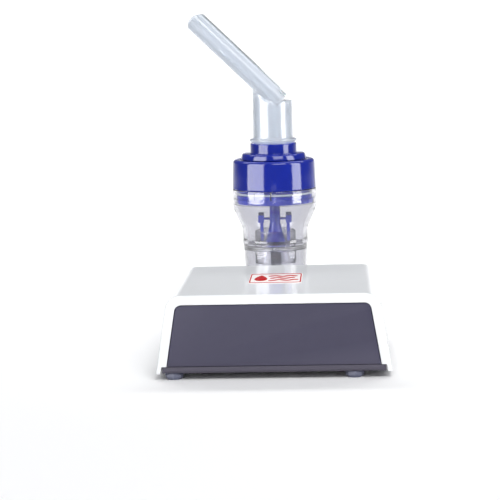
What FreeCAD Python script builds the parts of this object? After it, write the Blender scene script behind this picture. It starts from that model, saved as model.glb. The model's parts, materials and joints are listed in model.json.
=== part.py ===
"""Tabletop compressor nebulizer: a small air compressor with a jet nebulizer docked behind it.

Millimetres, +Z up. The rubber feet stand on Z = 0, X runs left to right across the plain front panel,
and +Y runs from that panel to the controls, the dock and the nebulizer at the back.
"""
import math
import os

import FreeCAD
import Part
import Sketcher

DIMENSIONS = {
    # compressor housing: an arch-shaped shell between two end panels, on a tray
    "body_width": 120, "body_depth": 100, "body_height": 40, "side_lean": 9.5,
    "corner_radius": 8.5, "rim_edge": 0.8, "shell_wall": 2.2, "rim_width": 4.8, "rim_length": 3.2,
    "panel_recess": 0.8, "panel_flange": 1.5, "fit_gap": 0.2,
    "tray_width": 113.8, "tray_height": 3.4, "tray_floor": 2.4, "tray_lip": 2, "tray_edge": 1.8,
    "boss_x": 51, "boss_inset": 14, "boss_radius": 3.2, "pilot_radius": 1.4,
    "screw_radius": 1.35, "screw_head_radius": 2.7, "screw_head_height": 1.6, "screw_length": 14,
    "foot_height": 3.5, "foot_radius": 4.75, "foot_inset": 5.4, "foot_left": 51, "foot_right": 41,
    "stud_radius": 1.95, "stud_height": 3.1, "badge_width": 28, "badge_depth": 32, "badge_setback": 36,
    "badge_thickness": 0.3,
    # jet nebulizer: places above the floor, and radii
    "neb_offset_x": -2.3, "dock_offset": 19.6,
    "cup_bottom": 28.8, "cup_foot_radius": 16.75, "cup_floor": 52.7, "cup_floor_radius": 17.95,
    "cup_floor_thickness": 1.5, "bead_radius": 18.5, "bead_bottom": 54.2, "bead_top": 55.3,
    "neck_bottom": 56.4, "cup_neck_radius": 18.3, "shoulder_bottom": 62.5, "shoulder_top": 73.9,
    "cup_radius": 23.55, "cup_top": 84.8, "cup_wall": 1.9, "shoulder_round": 14, "well_radius": 11.5,
    "well_top": 61.2, "well_bottom": 43, "well_wall": 1.2, "foot_wall": 1.7,
    "jet_base_radius": 4.2, "jet_tip_radius": 1.5,
    "jet_tip": 61.5, "jet_hole": 0.4, "inlet_radius": 3, "inlet_bore": 1.3, "inlet_bottom": 18,
    "barb_radius": 3.3, "barb_height": 4, "track_bottom": 76.6, "track_top": 79.8, "track_depth": 0.8,
    "lid_bottom": 85.1, "lid_top": 101.3, "lid_radius": 23.6, "lid_top_radius": 22.85, "lid_plate": 2,
    "lid_skirt_radius": 21.3, "lid_skirt_wall": 1.6, "lid_skirt_bottom": 76.9, "lid_hole": 14,
    "lid_round": 1.6, "lug_radius": 22.1, "lug_height": 2.4, "lug_width": 8, "lug_play": 1.5,
    "seal_radius": 0.55, "seal_groove_depth": 0.8, "seal_groove_bottom": 3.4, "seal_groove_top": 1.8,
    "collar_radius": 18.6, "collar_top_radius": 17.6, "collar_top": 104.7, "collar_round": 0.9,
    "collar_gap": 0.1, "stop_width": 1.3, "stop_height": 1.6,
    "outlet_radius": 13, "outlet_top": 110.3, "outlet_bore": 11.05, "spigot_bottom": 95,
    "stem_radius": 3, "cone_top": 66.5, "cone_top_radius": 2.6, "cone_bottom": 53.2, "cone_radius": 5.9,
    "cone_wall": 0.9, "arm_bottom": 67.2, "arm_height": 1, "arm_width": 3, "arm_reach": 9.4,
    "leg_inner": 6.6, "leg_outer": 8.3, "leg_bottom": 54, "block_height": 4.1, "block_bottom": 65.5,
    # mouthpiece: an upright tube and a flattened one at the lips' angle
    "plug_radius": 11, "plug_bottom": 97.2, "shoulder_ring_radius": 12.5, "ring_bottom": 110.6,
    "flange_bottom": 111.6, "flange_top": 112.8, "flange_radius": 13.2, "tube_radius": 11.2,
    "tube_top_radius": 10.95, "ledge_top": 134.1, "tube_wall": 1.4, "elbow_left": -11.1,
    "elbow_height": 141.5, "mouth_angle": 44.4, "mouth_half": 5.5, "mouth_half_width": 11.4,
    "mouth_length": 48, "mouth_start": 12, "port_length": 5, "port_depth": 1.8, "lip_bulge": 3,
    "flap_thickness": 0.6, "flap_length": 4.3, "flap_width": 13,
    # dock
    "dock_radius": 20.6, "dock_bore": 17.5, "dock_top": 36.5, "dock_bottom": 25.5, "ledge": 28.5,
    "dock_hole": 12.5, "dock_slot": 9, "dock_plate_width": 31, "dock_plate_bottom": 17, "dock_plate": 2.4,
    "dock_rib": 2, "dock_rib_inset": 2.5, "dock_slope": 11.6, "dock_screw_inset": 4,
    # back panel: places across X, and heights above the floor
    "switch_x": -39.5, "switch_height": 25, "switch_width": 13, "switch_tall": 19, "switch_flange": 1.2,
    "switch_lip": 1.5, "switch_depth": 12, "rocker_tilt": 8,
    "jack_x": -25, "jack_height": 14.5, "jack_radius": 4.4, "jack_bore": 2.85, "jack_pin": 1.05,
    "jack_depth": 11, "outlet_x": 30, "outlet_height": 29.5, "spout_radius": 3, "spout_length": 10,
    "spout_bore": 1.5, "spout_flange": 4.5, "filter_x": 41, "filter_height": 17, "filter_radius": 5.4,
    "filter_plug": 4.32, "filter_bore": 4.4, "filter_depth": 9, "vent_width": 1.6, "vent_tall": 8,
    "vent_pitch": 3.4, "vent_height": 25.5, "left_vents": -29.5, "right_vents": 36.6,
    "tray_vents": -40,
    # compressor works: the crank turns about X
    "crank_x": 9.5, "crank_setback": 38, "crank_height": 23, "motor_radius": 13.9, "motor_length": 38,
    "motor_right": -4, "motor_wall": 0.9, "magnet_thickness": 2.4, "armature_radius": 9.6,
    "armature_length": 20, "shaft_radius": 1.15, "shaft_right": 6.5, "shaft_left": -50.5,
    "bush_radius": 3, "bush_length": 3, "running_gap": 0.05, "fan_radius": 11, "fan_width": 4,
    "throw": 1.2, "weight_radius": 8.5, "weight_width": 3.6, "pin_radius": 2, "pin_length": 8,
    "bearing_radius": 4.6, "bearing_width": 4.6, "rod_ring": 6.6, "rod_length": 22, "rod_width": 5,
    "bore_radius": 8.6, "piston_radius": 6.4, "piston_height": 3, "cup_seal_radius": 7.05,
    "cylinder_radius": 10.6, "cylinder_start": 14, "cylinder_end": 32, "valve_thickness": 2,
    "head_depth": 11, "head_half": 13,
    "reed_thickness": 0.25, "frame_plate": 2, "frame_bottom": 9.9, "mount_radius": 3.4,
    "tube_outer": 2.5, "tube_inner": 1.7, "tube_bend": 4, "port_high": 29.5, "port_low": 17,
    "board_x": 27, "board_width": 24, "board_depth": 34, "board_setback": 21.6, "board_height": 10,
    "board_thickness": 1.6, "lead_radius": 0.7, "lead_bend": 2, "lead_height": 8, "lead_rise": 14.6,
    "lead_rise_setback": 59.6, "motor_terminal": 5,
}

FRONT = "(-(dims.body_depth + dims.dock_offset + dims.lid_radius) / 2)"
BACK = f"({FRONT} + dims.body_depth)"
NEB_X = "dims.neb_offset_x"
NEB_Y = f"({BACK} + dims.dock_offset)"
CRANK_Y = f"({FRONT} + dims.crank_setback)"
BACK_FACE = f"({BACK} - dims.panel_recess)"
PANEL_END = f"({BACK} - dims.rim_length - dims.fit_gap - dims.panel_flange)"
POT_END = f"({PANEL_END} - dims.filter_depth + 4)"
TURN_TO_X = FreeCAD.Rotation(FreeCAD.Vector(0, 1, 0), 90)
TURN_TO_BACK = FreeCAD.Rotation(FreeCAD.Vector(1, 0, 0), -90)
UPRIGHT = FreeCAD.Rotation()
DOCK_SCREWS = [
    f"({NEB_X} {sign} (dims.dock_plate_width / 2 - dims.dock_screw_inset))" for sign in ("-", "+")
]
DOCK_SCREW_HEIGHT = "(dims.dock_plate_bottom + dims.dock_screw_inset)"
VENTS_IN_GROUP = 4
TRAY_VENTS = 7
FAN_BLADES = 7
LUG_TURNS = (220, 340, 100)
UNLOCK_TURN = 35

doc = FreeCAD.newDocument("nebulizer")
dims = doc.addObject("Spreadsheet::Sheet", "dims")
subparts = []


def fill_sheet():
    for row, (alias, size) in enumerate(DIMENSIONS.items(), start=1):
        dims.set(f"A{row}", alias)
        dims.set(f"B{row}", str(size))
        dims.setAlias(f"B{row}", alias)
    doc.recompute()


def value(expression):
    """What an expression over the sheet comes to, as a plain number."""
    result = dims.evalExpression(str(expression))
    return float(getattr(result, "Value", result))


def bind(thing, **expressions):
    for path, expression in expressions.items():
        thing.setExpression(path.replace("__", "."), str(expression))
    return thing


def place(thing, x=0, y=0, z=0, rotation=UPRIGHT):
    """Puts thing at a place given by expressions."""
    thing.Placement = FreeCAD.Placement(FreeCAD.Vector(), rotation)
    return bind(thing, Placement__Base__x=x, Placement__Base__y=y, Placement__Base__z=z)


def keep(thing, label):
    """Marks thing as a sub-part, whose label names its file."""
    thing.Label = label
    subparts.append(thing)
    return thing


def box(length, width, height, x=0, y=0, z=0, rotation=UPRIGHT):
    made = doc.addObject("Part::Box", "block")
    return place(bind(made, Length=length, Width=width, Height=height), x, y, z, rotation)


def centred_box(length, width, height, x=0, y=0, z=0):
    """A block centred on x and y that stands on z."""
    return box(length, width, height, f"{x} - ({length}) / 2", f"{y} - ({width}) / 2", z)


def cylinder(radius, height, x=0, y=0, z=0, rotation=UPRIGHT):
    made = doc.addObject("Part::Cylinder", "round")
    return place(bind(made, Radius=radius, Height=height), x, y, z, rotation)


def cone(low, high, height, x=0, y=0, z=0, rotation=UPRIGHT):
    made = doc.addObject("Part::Cone", "taper")
    return place(bind(made, Radius1=low, Radius2=high, Height=height), x, y, z, rotation)


def fuse(*pieces):
    made = doc.addObject("Part::MultiFuse", "joined")
    made.Shapes = list(pieces)
    return made


def common(*pieces):
    made = doc.addObject("Part::MultiCommon", "shared")
    made.Shapes = list(pieces)
    return made


def cut(base, *tools):
    made = doc.addObject("Part::Cut", "trimmed")
    made.Base = base
    made.Tool = tools[0] if len(tools) == 1 else fuse(*tools)
    return made


def group(*pieces):
    made = doc.addObject("Part::Compound", "set")
    made.Links = list(pieces)
    return made


def sketch_outline(body, role, points):
    """A closed sketch of straight runs whose corners are held by expressions."""
    sketch = body.newObject("Sketcher::SketchObject", "outline")
    plane = [p for p in body.Origin.OriginFeatures if p.Role == role][0]
    sketch.AttachmentSupport = [(plane, "")]
    sketch.MapMode = "FlatFace"
    corners = [FreeCAD.Vector(value(a), value(b), 0) for a, b in points]
    lines = [
        sketch.addGeometry(Part.LineSegment(corner, corners[(i + 1) % len(corners)]), False)
        for i, corner in enumerate(corners)
    ]
    for i, line in enumerate(lines):
        following = lines[(i + 1) % len(lines)]
        sketch.addConstraint(Sketcher.Constraint("Coincident", line, 2, following, 1))
    for i, (line, corner, point) in enumerate(zip(lines, corners, points)):
        for kind, axis, size, expression in (
            ("DistanceX", "across", corner.x, point[0]),
            ("DistanceY", "along", corner.y, point[1]),
        ):
            held = sketch.addConstraint(Sketcher.Constraint(kind, -1, 1, line, 1, size))
            sketch.renameConstraint(held, f"{axis}{i}")
            sketch.setExpression(f"Constraints.{axis}{i}", str(expression))
    return sketch


def round_edges(body, wanted, radius):
    """Rounds the edges of the body's last feature that wanted() accepts."""
    doc.recompute()
    last = body.Tip
    names = [f"Edge{i}" for i, edge in enumerate(last.Shape.Edges, start=1) if wanted(edge)]
    if not names:
        raise ValueError(f"no edge to round on {body.Name}")
    rounding = body.newObject("PartDesign::Fillet", "rounding")
    rounding.Base = (last, names)
    bind(rounding, Radius=radius)
    body.Tip = rounding
    return body


def round_ring(body, radius_at, height_at, radius):
    """Rounds a turned body's circular edge of that radius at that height."""

    def wanted(edge):
        circle = edge.Curve
        return (
            isinstance(circle, Part.Circle)
            and abs(circle.Radius - value(radius_at)) < 1e-3
            and abs(circle.Center.z - value(height_at)) < 1e-3
        )

    return round_edges(body, wanted, radius)


def turned(points):
    """A body turned about Z from (radius, height) corners."""
    body = doc.addObject("PartDesign::Body", "turned")
    outline = sketch_outline(body, "XZ_Plane", points)
    feature = body.newObject("PartDesign::Revolution", "turn")
    feature.Profile = outline
    feature.ReferenceAxis = (outline, ["V_Axis"])
    feature.Angle = 360
    body.Tip = feature
    return body


def half_width(inset, height):
    """The housing's half width, drawn in by inset, at a height above the floor."""
    lean = "dims.side_lean * 1 deg"
    return (
        f"(dims.body_width / 2 - ({inset}) / cos({lean})"
        f" - (({height}) - dims.foot_height) * tan({lean}))"
    )


def arch(inset, bottom, start, length, rounded=True):
    """A leaning-sided prism along Y whose outline is the housing's, drawn in by inset."""
    top = f"(dims.foot_height + dims.body_height - ({inset}))"
    points = [
        (f"-{half_width(inset, bottom)}", bottom),
        (half_width(inset, bottom), bottom),
        (half_width(inset, top), top),
        (f"-{half_width(inset, top)}", top),
    ]
    body = doc.addObject("PartDesign::Body", "arch")
    outline = sketch_outline(body, "XZ_Plane", points)
    feature = body.newObject("PartDesign::Pad", "length")
    feature.Profile = outline
    feature.Reversed = True
    bind(feature, Length=length)
    body.Tip = feature
    if rounded:
        def top_corner(edge):
            ends = [v.Point for v in edge.Vertexes]
            return (
                abs(ends[0].y - ends[-1].y) > 1e-3
                and min(end.z for end in ends) > value(top) - 1e-3
            )

        round_edges(body, top_corner, f"dims.corner_radius - ({inset})")
    return bind(body, Placement__Base__y=start)


def top_shell():
    outer = arch("0", "dims.foot_height", FRONT, "dims.body_depth")

    def end_edge(edge):
        ends = [v.Point.y for v in edge.Vertexes]
        at_end = min(abs(y) for y in ends) < 1e-3 and max(abs(y) for y in ends) < 1e-3
        depth = value("dims.body_depth")
        at_far_end = all(abs(y - depth) < 1e-3 for y in ends)
        above = max(v.Point.z for v in edge.Vertexes) > value("dims.foot_height") + 1
        return (at_end or at_far_end) and above

    round_edges(outer, end_edge, "dims.rim_edge")
    cavity = arch(
        "dims.shell_wall", "dims.foot_height - 1", f"{FRONT} + dims.rim_length",
        "dims.body_depth - 2 * dims.rim_length",
    )
    opening = arch(
        "dims.rim_width", "dims.foot_height - 1", f"{FRONT} - 1", "dims.body_depth + 2"
    )
    tray_room = centred_box(
        "dims.tray_width + 2 * dims.fit_gap", "dims.body_depth + 2", "dims.tray_height + dims.fit_gap + 1",
        0, f"({FRONT} + dims.body_depth / 2)", "dims.foot_height - 1",
    )
    shell = cut(outer, cavity, opening, tray_room)
    bottom = "(dims.foot_height + dims.tray_floor + dims.fit_gap)"
    height = f"dims.foot_height + dims.body_height - dims.shell_wall + 1 - {bottom}"
    bosses, pilots = [], []
    for x in ("-dims.boss_x", "dims.boss_x"):
        for y in (f"({FRONT} + dims.boss_inset)", f"({BACK} - dims.boss_inset)"):
            column = cylinder("dims.boss_radius", height, x, y, bottom)
            bosses.append(common(column, arch("1", bottom, FRONT, "dims.body_depth")))
            pilots.append(cylinder("dims.pilot_radius", "dims.screw_length + 2", x, y, f"{bottom} - 1"))
    keep(cut(fuse(shell, *bosses), *pilots), "top_shell")


def panel_blank(outer_start, inner_start):
    """An end panel: a plate that fills the rim, and a flange that the rim holds from outside."""
    bottom = "dims.foot_height + dims.tray_height + dims.fit_gap"
    plate_length = "dims.rim_length + dims.fit_gap - dims.panel_recess"
    plate = arch("dims.rim_width + dims.fit_gap", bottom, outer_start, plate_length)
    flange = arch("dims.shell_wall + dims.fit_gap", bottom, inner_start, "dims.panel_flange")
    return fuse(plate, flange)


def front_panel():
    blank = panel_blank(
        f"{FRONT} + dims.panel_recess", f"{FRONT} + dims.rim_length + dims.fit_gap"
    )
    keep(blank, "front_panel")


def vent_slots(first_x):
    return [
        centred_box(
            "dims.vent_width", "dims.rim_length * 4", "dims.vent_tall",
            f"({first_x} + {i} * dims.vent_pitch)", BACK, "dims.vent_height",
        )
        for i in range(VENTS_IN_GROUP)
    ]


def rear_panel():
    blank = panel_blank(
        f"{BACK} - dims.rim_length - dims.fit_gap", PANEL_END,
    )
    through = "dims.rim_length * 4"
    start = f"{BACK} - dims.rim_length * 2"
    holes = [
        box(
            "dims.switch_width + 2 * dims.fit_gap", through, "dims.switch_tall + 2 * dims.fit_gap",
            "dims.switch_x - dims.switch_width / 2 - dims.fit_gap", start,
            "dims.switch_height - dims.switch_tall / 2 - dims.fit_gap",
        ),
        cylinder("dims.jack_radius + 0.1", through, "dims.jack_x", start, "dims.jack_height", TURN_TO_BACK),
        cylinder("dims.spout_radius + 0.1", through, "dims.outlet_x", start, "dims.outlet_height",
                 TURN_TO_BACK),
        cylinder("dims.filter_radius", through, "dims.filter_x", start, "dims.filter_height",
                 TURN_TO_BACK),
    ]
    holes += [
        cylinder("dims.pilot_radius + 0.1", through, x, start, DOCK_SCREW_HEIGHT, TURN_TO_BACK)
        for x in DOCK_SCREWS
    ]
    holes += vent_slots("dims.left_vents") + vent_slots("dims.right_vents")
    keep(cut(blank, *holes), "rear_panel")


def foot_places():
    rows = {"front": f"({FRONT} + dims.foot_inset)", "rear": f"({BACK} - dims.foot_inset)"}
    sides = {"left": "-dims.foot_left", "right": "dims.foot_right"}
    return {f"foot_{row}_{side}": (x, y) for row, y in rows.items() for side, x in sides.items()}


def feet():
    z = "dims.foot_height"
    for label, (x, y) in foot_places().items():
        foot = turned([
            ("0", "0"),
            ("dims.foot_radius * 0.72", "0"),
            ("dims.foot_radius", f"{z} * 0.4"),
            ("dims.foot_radius", f"{z} * 0.7"),
            ("dims.foot_radius * 0.85", z),
            ("dims.stud_radius", z),
            ("dims.stud_radius", f"{z} + dims.tray_floor"),
            ("dims.stud_radius + 0.6", f"{z} + dims.tray_floor"),
            ("dims.stud_radius * 0.6", f"{z} + dims.stud_height"),
            ("0", f"{z} + dims.stud_height"),
        ])
        keep(place(foot, x, y), label)


def screw_places():
    return [
        (x, y)
        for x in ("-dims.boss_x", "dims.boss_x")
        for y in (f"({FRONT} + dims.boss_inset)", f"({BACK} - dims.boss_inset)")
    ]


def base_tray():
    z = "dims.foot_height"
    lean = "dims.side_lean * 1 deg"
    low, top = "(dims.tray_width / 2)", f"(dims.tray_width / 2 - dims.tray_height * tan({lean}))"
    body = doc.addObject("PartDesign::Body", "tray")
    outline = sketch_outline(body, "XZ_Plane", [
        (f"-{low}", z), (low, z), (top, f"{z} + dims.tray_height"), (f"-{top}", f"{z} + dims.tray_height"),
    ])
    feature = body.newObject("PartDesign::Pad", "length")
    feature.Profile = outline
    feature.Reversed = True
    bind(feature, Length="dims.body_depth")
    body.Tip = feature

    def bottom_end(edge):
        ends = [v.Point for v in edge.Vertexes]
        level = all(abs(end.z - value(z)) < 1e-3 for end in ends)
        return level and abs(ends[0].x - ends[-1].x) > 1

    round_edges(body, bottom_end, "dims.tray_edge")
    bind(body, Placement__Base__y=FRONT)
    middle = f"({FRONT} + dims.body_depth / 2)"
    inside = centred_box(
        "dims.tray_width - 2 * dims.tray_lip", "dims.body_depth - 2 * dims.tray_lip",
        "dims.tray_height", 0, middle, f"{z} + dims.tray_floor",
    )
    holes = []
    for x, y in foot_places().values():
        holes.append(cylinder("dims.stud_radius + 0.1", "dims.tray_height * 2", x, y, 0))
    for x, y in screw_places():
        holes.append(cylinder("dims.screw_radius + 0.3", "dims.tray_height * 2", x, y, 0))
        holes.append(cylinder("dims.screw_head_radius + 0.3", "dims.screw_head_height", x, y, z))
    for i in range(TRAY_VENTS):
        slot_x = f"(dims.tray_vents + {i} * 2 * dims.vent_pitch)"
        holes.append(centred_box("dims.vent_width", "dims.vent_tall * 3", "dims.tray_height * 3",
                                 slot_x, f"({middle} - 12)", 0))
    keep(cut(body, inside, *holes), "base_tray")


def housing_screws():
    z = "(dims.foot_height + 0.1)"
    screws = []
    for x, y in screw_places():
        head = cylinder("dims.screw_head_radius", "dims.screw_head_height - 0.1", x, y, z)
        shank = cylinder("dims.screw_radius", "dims.screw_length", x, y, z)
        cross = [
            centred_box("dims.screw_head_radius", "0.7", "0.8", x, y, z),
            centred_box("0.7", "dims.screw_head_radius", "0.8", x, y, z),
        ]
        screws.append(cut(fuse(head, shank), *cross))
    keep(group(*screws), "housing_screws")


def label_badge():
    plate = box(
        "dims.badge_width", "dims.badge_depth", "dims.badge_thickness",
        "-dims.badge_width / 2", f"{FRONT} + dims.badge_setback", "dims.foot_height + dims.body_height",
    )
    keep(plate, "label_badge")


def nebulizer_dock():
    """A half-open holder that carries the cup by its foot, and lets the hose out at the back."""
    ring = cut(
        cylinder("dims.dock_radius", "dims.dock_top - dims.dock_bottom", NEB_X, NEB_Y, "dims.dock_bottom"),
        cylinder("dims.dock_bore", "dims.dock_top", NEB_X, NEB_Y, "dims.ledge"),
        cylinder("dims.dock_hole", "dims.dock_top", NEB_X, NEB_Y, "dims.dock_bottom - 1"),
        centred_box("dims.dock_slot", "2 * dims.dock_radius", "dims.dock_top",
                    NEB_X, f"({NEB_Y} + dims.dock_radius)", "dims.dock_bottom - 1"),
        box("2 * dims.dock_radius", "4", "dims.dock_top", f"{NEB_X} - dims.dock_radius",
            f"{BACK_FACE} - 4", 0),
    )
    plate = box(
        "dims.dock_plate_width", "dims.dock_plate", "dims.dock_top - dims.dock_plate_bottom",
        f"{NEB_X} - dims.dock_plate_width / 2", f"{BACK_FACE}", "dims.dock_plate_bottom",
    )
    rib_places = [
        f"({NEB_X} - dims.dock_plate_width / 2 + dims.dock_rib_inset)",
        f"({NEB_X} + dims.dock_plate_width / 2 - dims.dock_rib_inset - dims.dock_rib)",
    ]
    ribs = [
        box("dims.dock_rib", "dims.dock_slope", "dims.dock_bottom - dims.dock_plate_bottom",
            x, BACK_FACE, "dims.dock_plate_bottom")
        for x in rib_places
    ]
    slopes = [
        cylinder("dims.dock_slope", "dims.dock_rib * 2", f"{x} - dims.dock_rib / 2",
                 f"{BACK_FACE} + dims.dock_slope + 2", "dims.dock_plate_bottom - 3", TURN_TO_X)
        for x in rib_places
    ]
    bracket = cut(fuse(plate, cut(fuse(*ribs), *slopes)),
                  cylinder("dims.dock_bore", "dims.dock_top", NEB_X, NEB_Y, "dims.ledge"))
    pilots = [
        cylinder("dims.pilot_radius", "4", x, f"{BACK_FACE} - 2", DOCK_SCREW_HEIGHT, TURN_TO_BACK)
        for x in DOCK_SCREWS
    ]
    keep(cut(fuse(ring, bracket), *pilots), "nebulizer_dock")
    inside = f"({PANEL_END} - dims.screw_head_height)"
    keep(group(*[
        fuse(
            cylinder("dims.screw_head_radius", "dims.screw_head_height", x, inside, DOCK_SCREW_HEIGHT,
                     TURN_TO_BACK),
            cylinder("dims.screw_radius", "dims.screw_head_height + 5", x, inside, DOCK_SCREW_HEIGHT,
                     TURN_TO_BACK),
        )
        for x in DOCK_SCREWS
    ]), "dock_screws")


def power_switch():
    x, z = "dims.switch_x", "dims.switch_height"
    wide, tall, lip = "dims.switch_width", "dims.switch_tall", "dims.switch_lip"
    bezel = box(f"{wide} + 2 * {lip}", "dims.switch_flange", f"{tall} + 2 * {lip}",
                f"{x} - {wide} / 2 - {lip}", BACK_FACE, f"{z} - {tall} / 2 - {lip}")
    case = box(wide, "dims.switch_depth", tall, f"{x} - {wide} / 2",
               f"{BACK_FACE} - dims.switch_depth", f"{z} - {tall} / 2")
    well = box(f"{wide} - 2.4", "dims.switch_depth + dims.switch_flange", f"{tall} - 2.4",
               f"{x} - {wide} / 2 + 1.2", f"{BACK_FACE} - dims.switch_depth + 1.5", f"{z} - {tall} / 2 + 1.2")
    pins = [
        cylinder("0.9", "2", f"{x} + {side}", f"{BACK_FACE} - 2.6", z, TURN_TO_X)
        for side in ("dims.switch_width / 2 - 2.2", "-dims.switch_width / 2 + 0.2")
    ]
    keep(fuse(cut(fuse(bezel, case), well), *pins), "switch_frame")
    reach = f"({tall} / 2 - 2.1)"
    body = doc.addObject("PartDesign::Body", "rocker")
    outline = sketch_outline(body, "YZ_Plane", [
        ("-3.4", "0"), ("-1.4", f"-{reach}"), ("4.6", f"-{reach}"), ("3.5", "0"), ("4.6", reach),
        ("-1.4", reach),
    ])
    feature = body.newObject("PartDesign::Pad", "width")
    feature.Profile = outline
    feature.Midplane = True
    bind(feature, Length=f"{wide} - 3")
    body.Tip = feature
    socket = cylinder("1", wide, f"-{wide} / 2", 0, 0, TURN_TO_X)
    rocker = cut(body, socket)
    rocker.Placement = FreeCAD.Placement(
        FreeCAD.Vector(), FreeCAD.Rotation(FreeCAD.Vector(1, 0, 0), value("dims.rocker_tilt"))
    )
    bind(rocker, Placement__Base__x=x, Placement__Base__y=f"{BACK_FACE} - 2.6", Placement__Base__z=z,
         Placement__Rotation__Angle="dims.rocker_tilt")
    keep(rocker, "power_rocker")
    leads = [
        box("2.4", "5", "0.8", f"{x} - 1.2", f"{BACK_FACE} - dims.switch_depth - 5", f"({z} + {side})")
        for side in ("4", "-4.8")
    ]
    keep(group(*leads), "switch_terminals")


def power_inlet():
    x, z = "dims.jack_x", "dims.jack_height"
    inner = f"({BACK_FACE} - dims.jack_depth)"
    body = fuse(
        cylinder("dims.jack_radius + 1.4", "1", x, BACK_FACE, z, TURN_TO_BACK),
        cylinder("dims.jack_radius", "dims.jack_depth", x, inner, z, TURN_TO_BACK),
    )
    socket = cylinder("dims.jack_bore", "dims.jack_depth + 1", x, f"{inner} + 2", z, TURN_TO_BACK)
    pin_hole = cylinder("dims.jack_pin", "dims.jack_depth", x, f"{inner} - 2", z, TURN_TO_BACK)
    keep(cut(body, socket, pin_hole), "power_inlet")
    keep(cylinder("dims.jack_pin", "dims.jack_depth + 0.5", x, f"{inner} - 2", z, TURN_TO_BACK),
         "power_inlet_pin")


def air_outlet():
    """The spout that the hose pushes on to, and its inner end for the pump's own tube."""
    x, z = "dims.outlet_x", "dims.outlet_height"
    inner = PANEL_END
    solid = fuse(
        cylinder("dims.spout_flange", "1.5", x, BACK_FACE, z, TURN_TO_BACK),
        cylinder("dims.spout_radius", f"{BACK_FACE} + dims.spout_length - {inner}", x, inner, z,
                 TURN_TO_BACK),
        cylinder("dims.tube_inner - 0.05", "7", x, f"{inner} - 7", z, TURN_TO_BACK),
    )
    bore = cylinder("0.9", "40", x, f"{inner} - 10", z, TURN_TO_BACK)
    wide_bore = cylinder("dims.spout_bore", "30", x, f"{inner} + 1", z, TURN_TO_BACK)
    keep(cut(solid, bore, wide_bore), "air_outlet")


def air_filter():
    x, z = "dims.filter_x", "dims.filter_height"
    inner = POT_END
    pot = cut(
        cylinder("dims.filter_radius - 0.1", f"{BACK_FACE} - {inner} - 0.5", x, inner, z, TURN_TO_BACK),
        cylinder("dims.filter_bore", "dims.filter_depth * 2", x, f"{inner} + 1", z, TURN_TO_BACK),
    )
    spigot = cylinder("dims.tube_inner - 0.05", "6", x, f"{inner} - 6", z, TURN_TO_BACK)
    bore = cylinder("0.9", "12", x, f"{inner} - 8", z, TURN_TO_BACK)
    keep(cut(fuse(pot, spigot), bore), "filter_pot")
    keep(cylinder("dims.filter_bore - 0.2", "3.4", x, f"{inner} + 1.1", z, TURN_TO_BACK), "filter_felt")
    cap = fuse(
        cylinder("dims.filter_radius + 1.1", "2.4", x, f"{BACK_FACE} + 0.3", z, TURN_TO_BACK),
        cylinder("dims.filter_plug", "4", x, f"{BACK_FACE} - 3.7", z, TURN_TO_BACK),
    )
    air_holes = [
        cylinder("0.7", "10", f"({x} + {round(2.4 * math.cos(turn), 3)})", f"{BACK_FACE} - 5",
                 f"({z} + {round(2.4 * math.sin(turn), 3)})", TURN_TO_BACK)
        for turn in (i * math.pi / 3 for i in range(6))
    ]
    keep(cut(cap, *air_holes), "filter_cap")


def along_crank(radius, length, start, y=CRANK_Y, z="dims.crank_height"):
    return cylinder(radius, length, start, y, z, TURN_TO_X)


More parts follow.
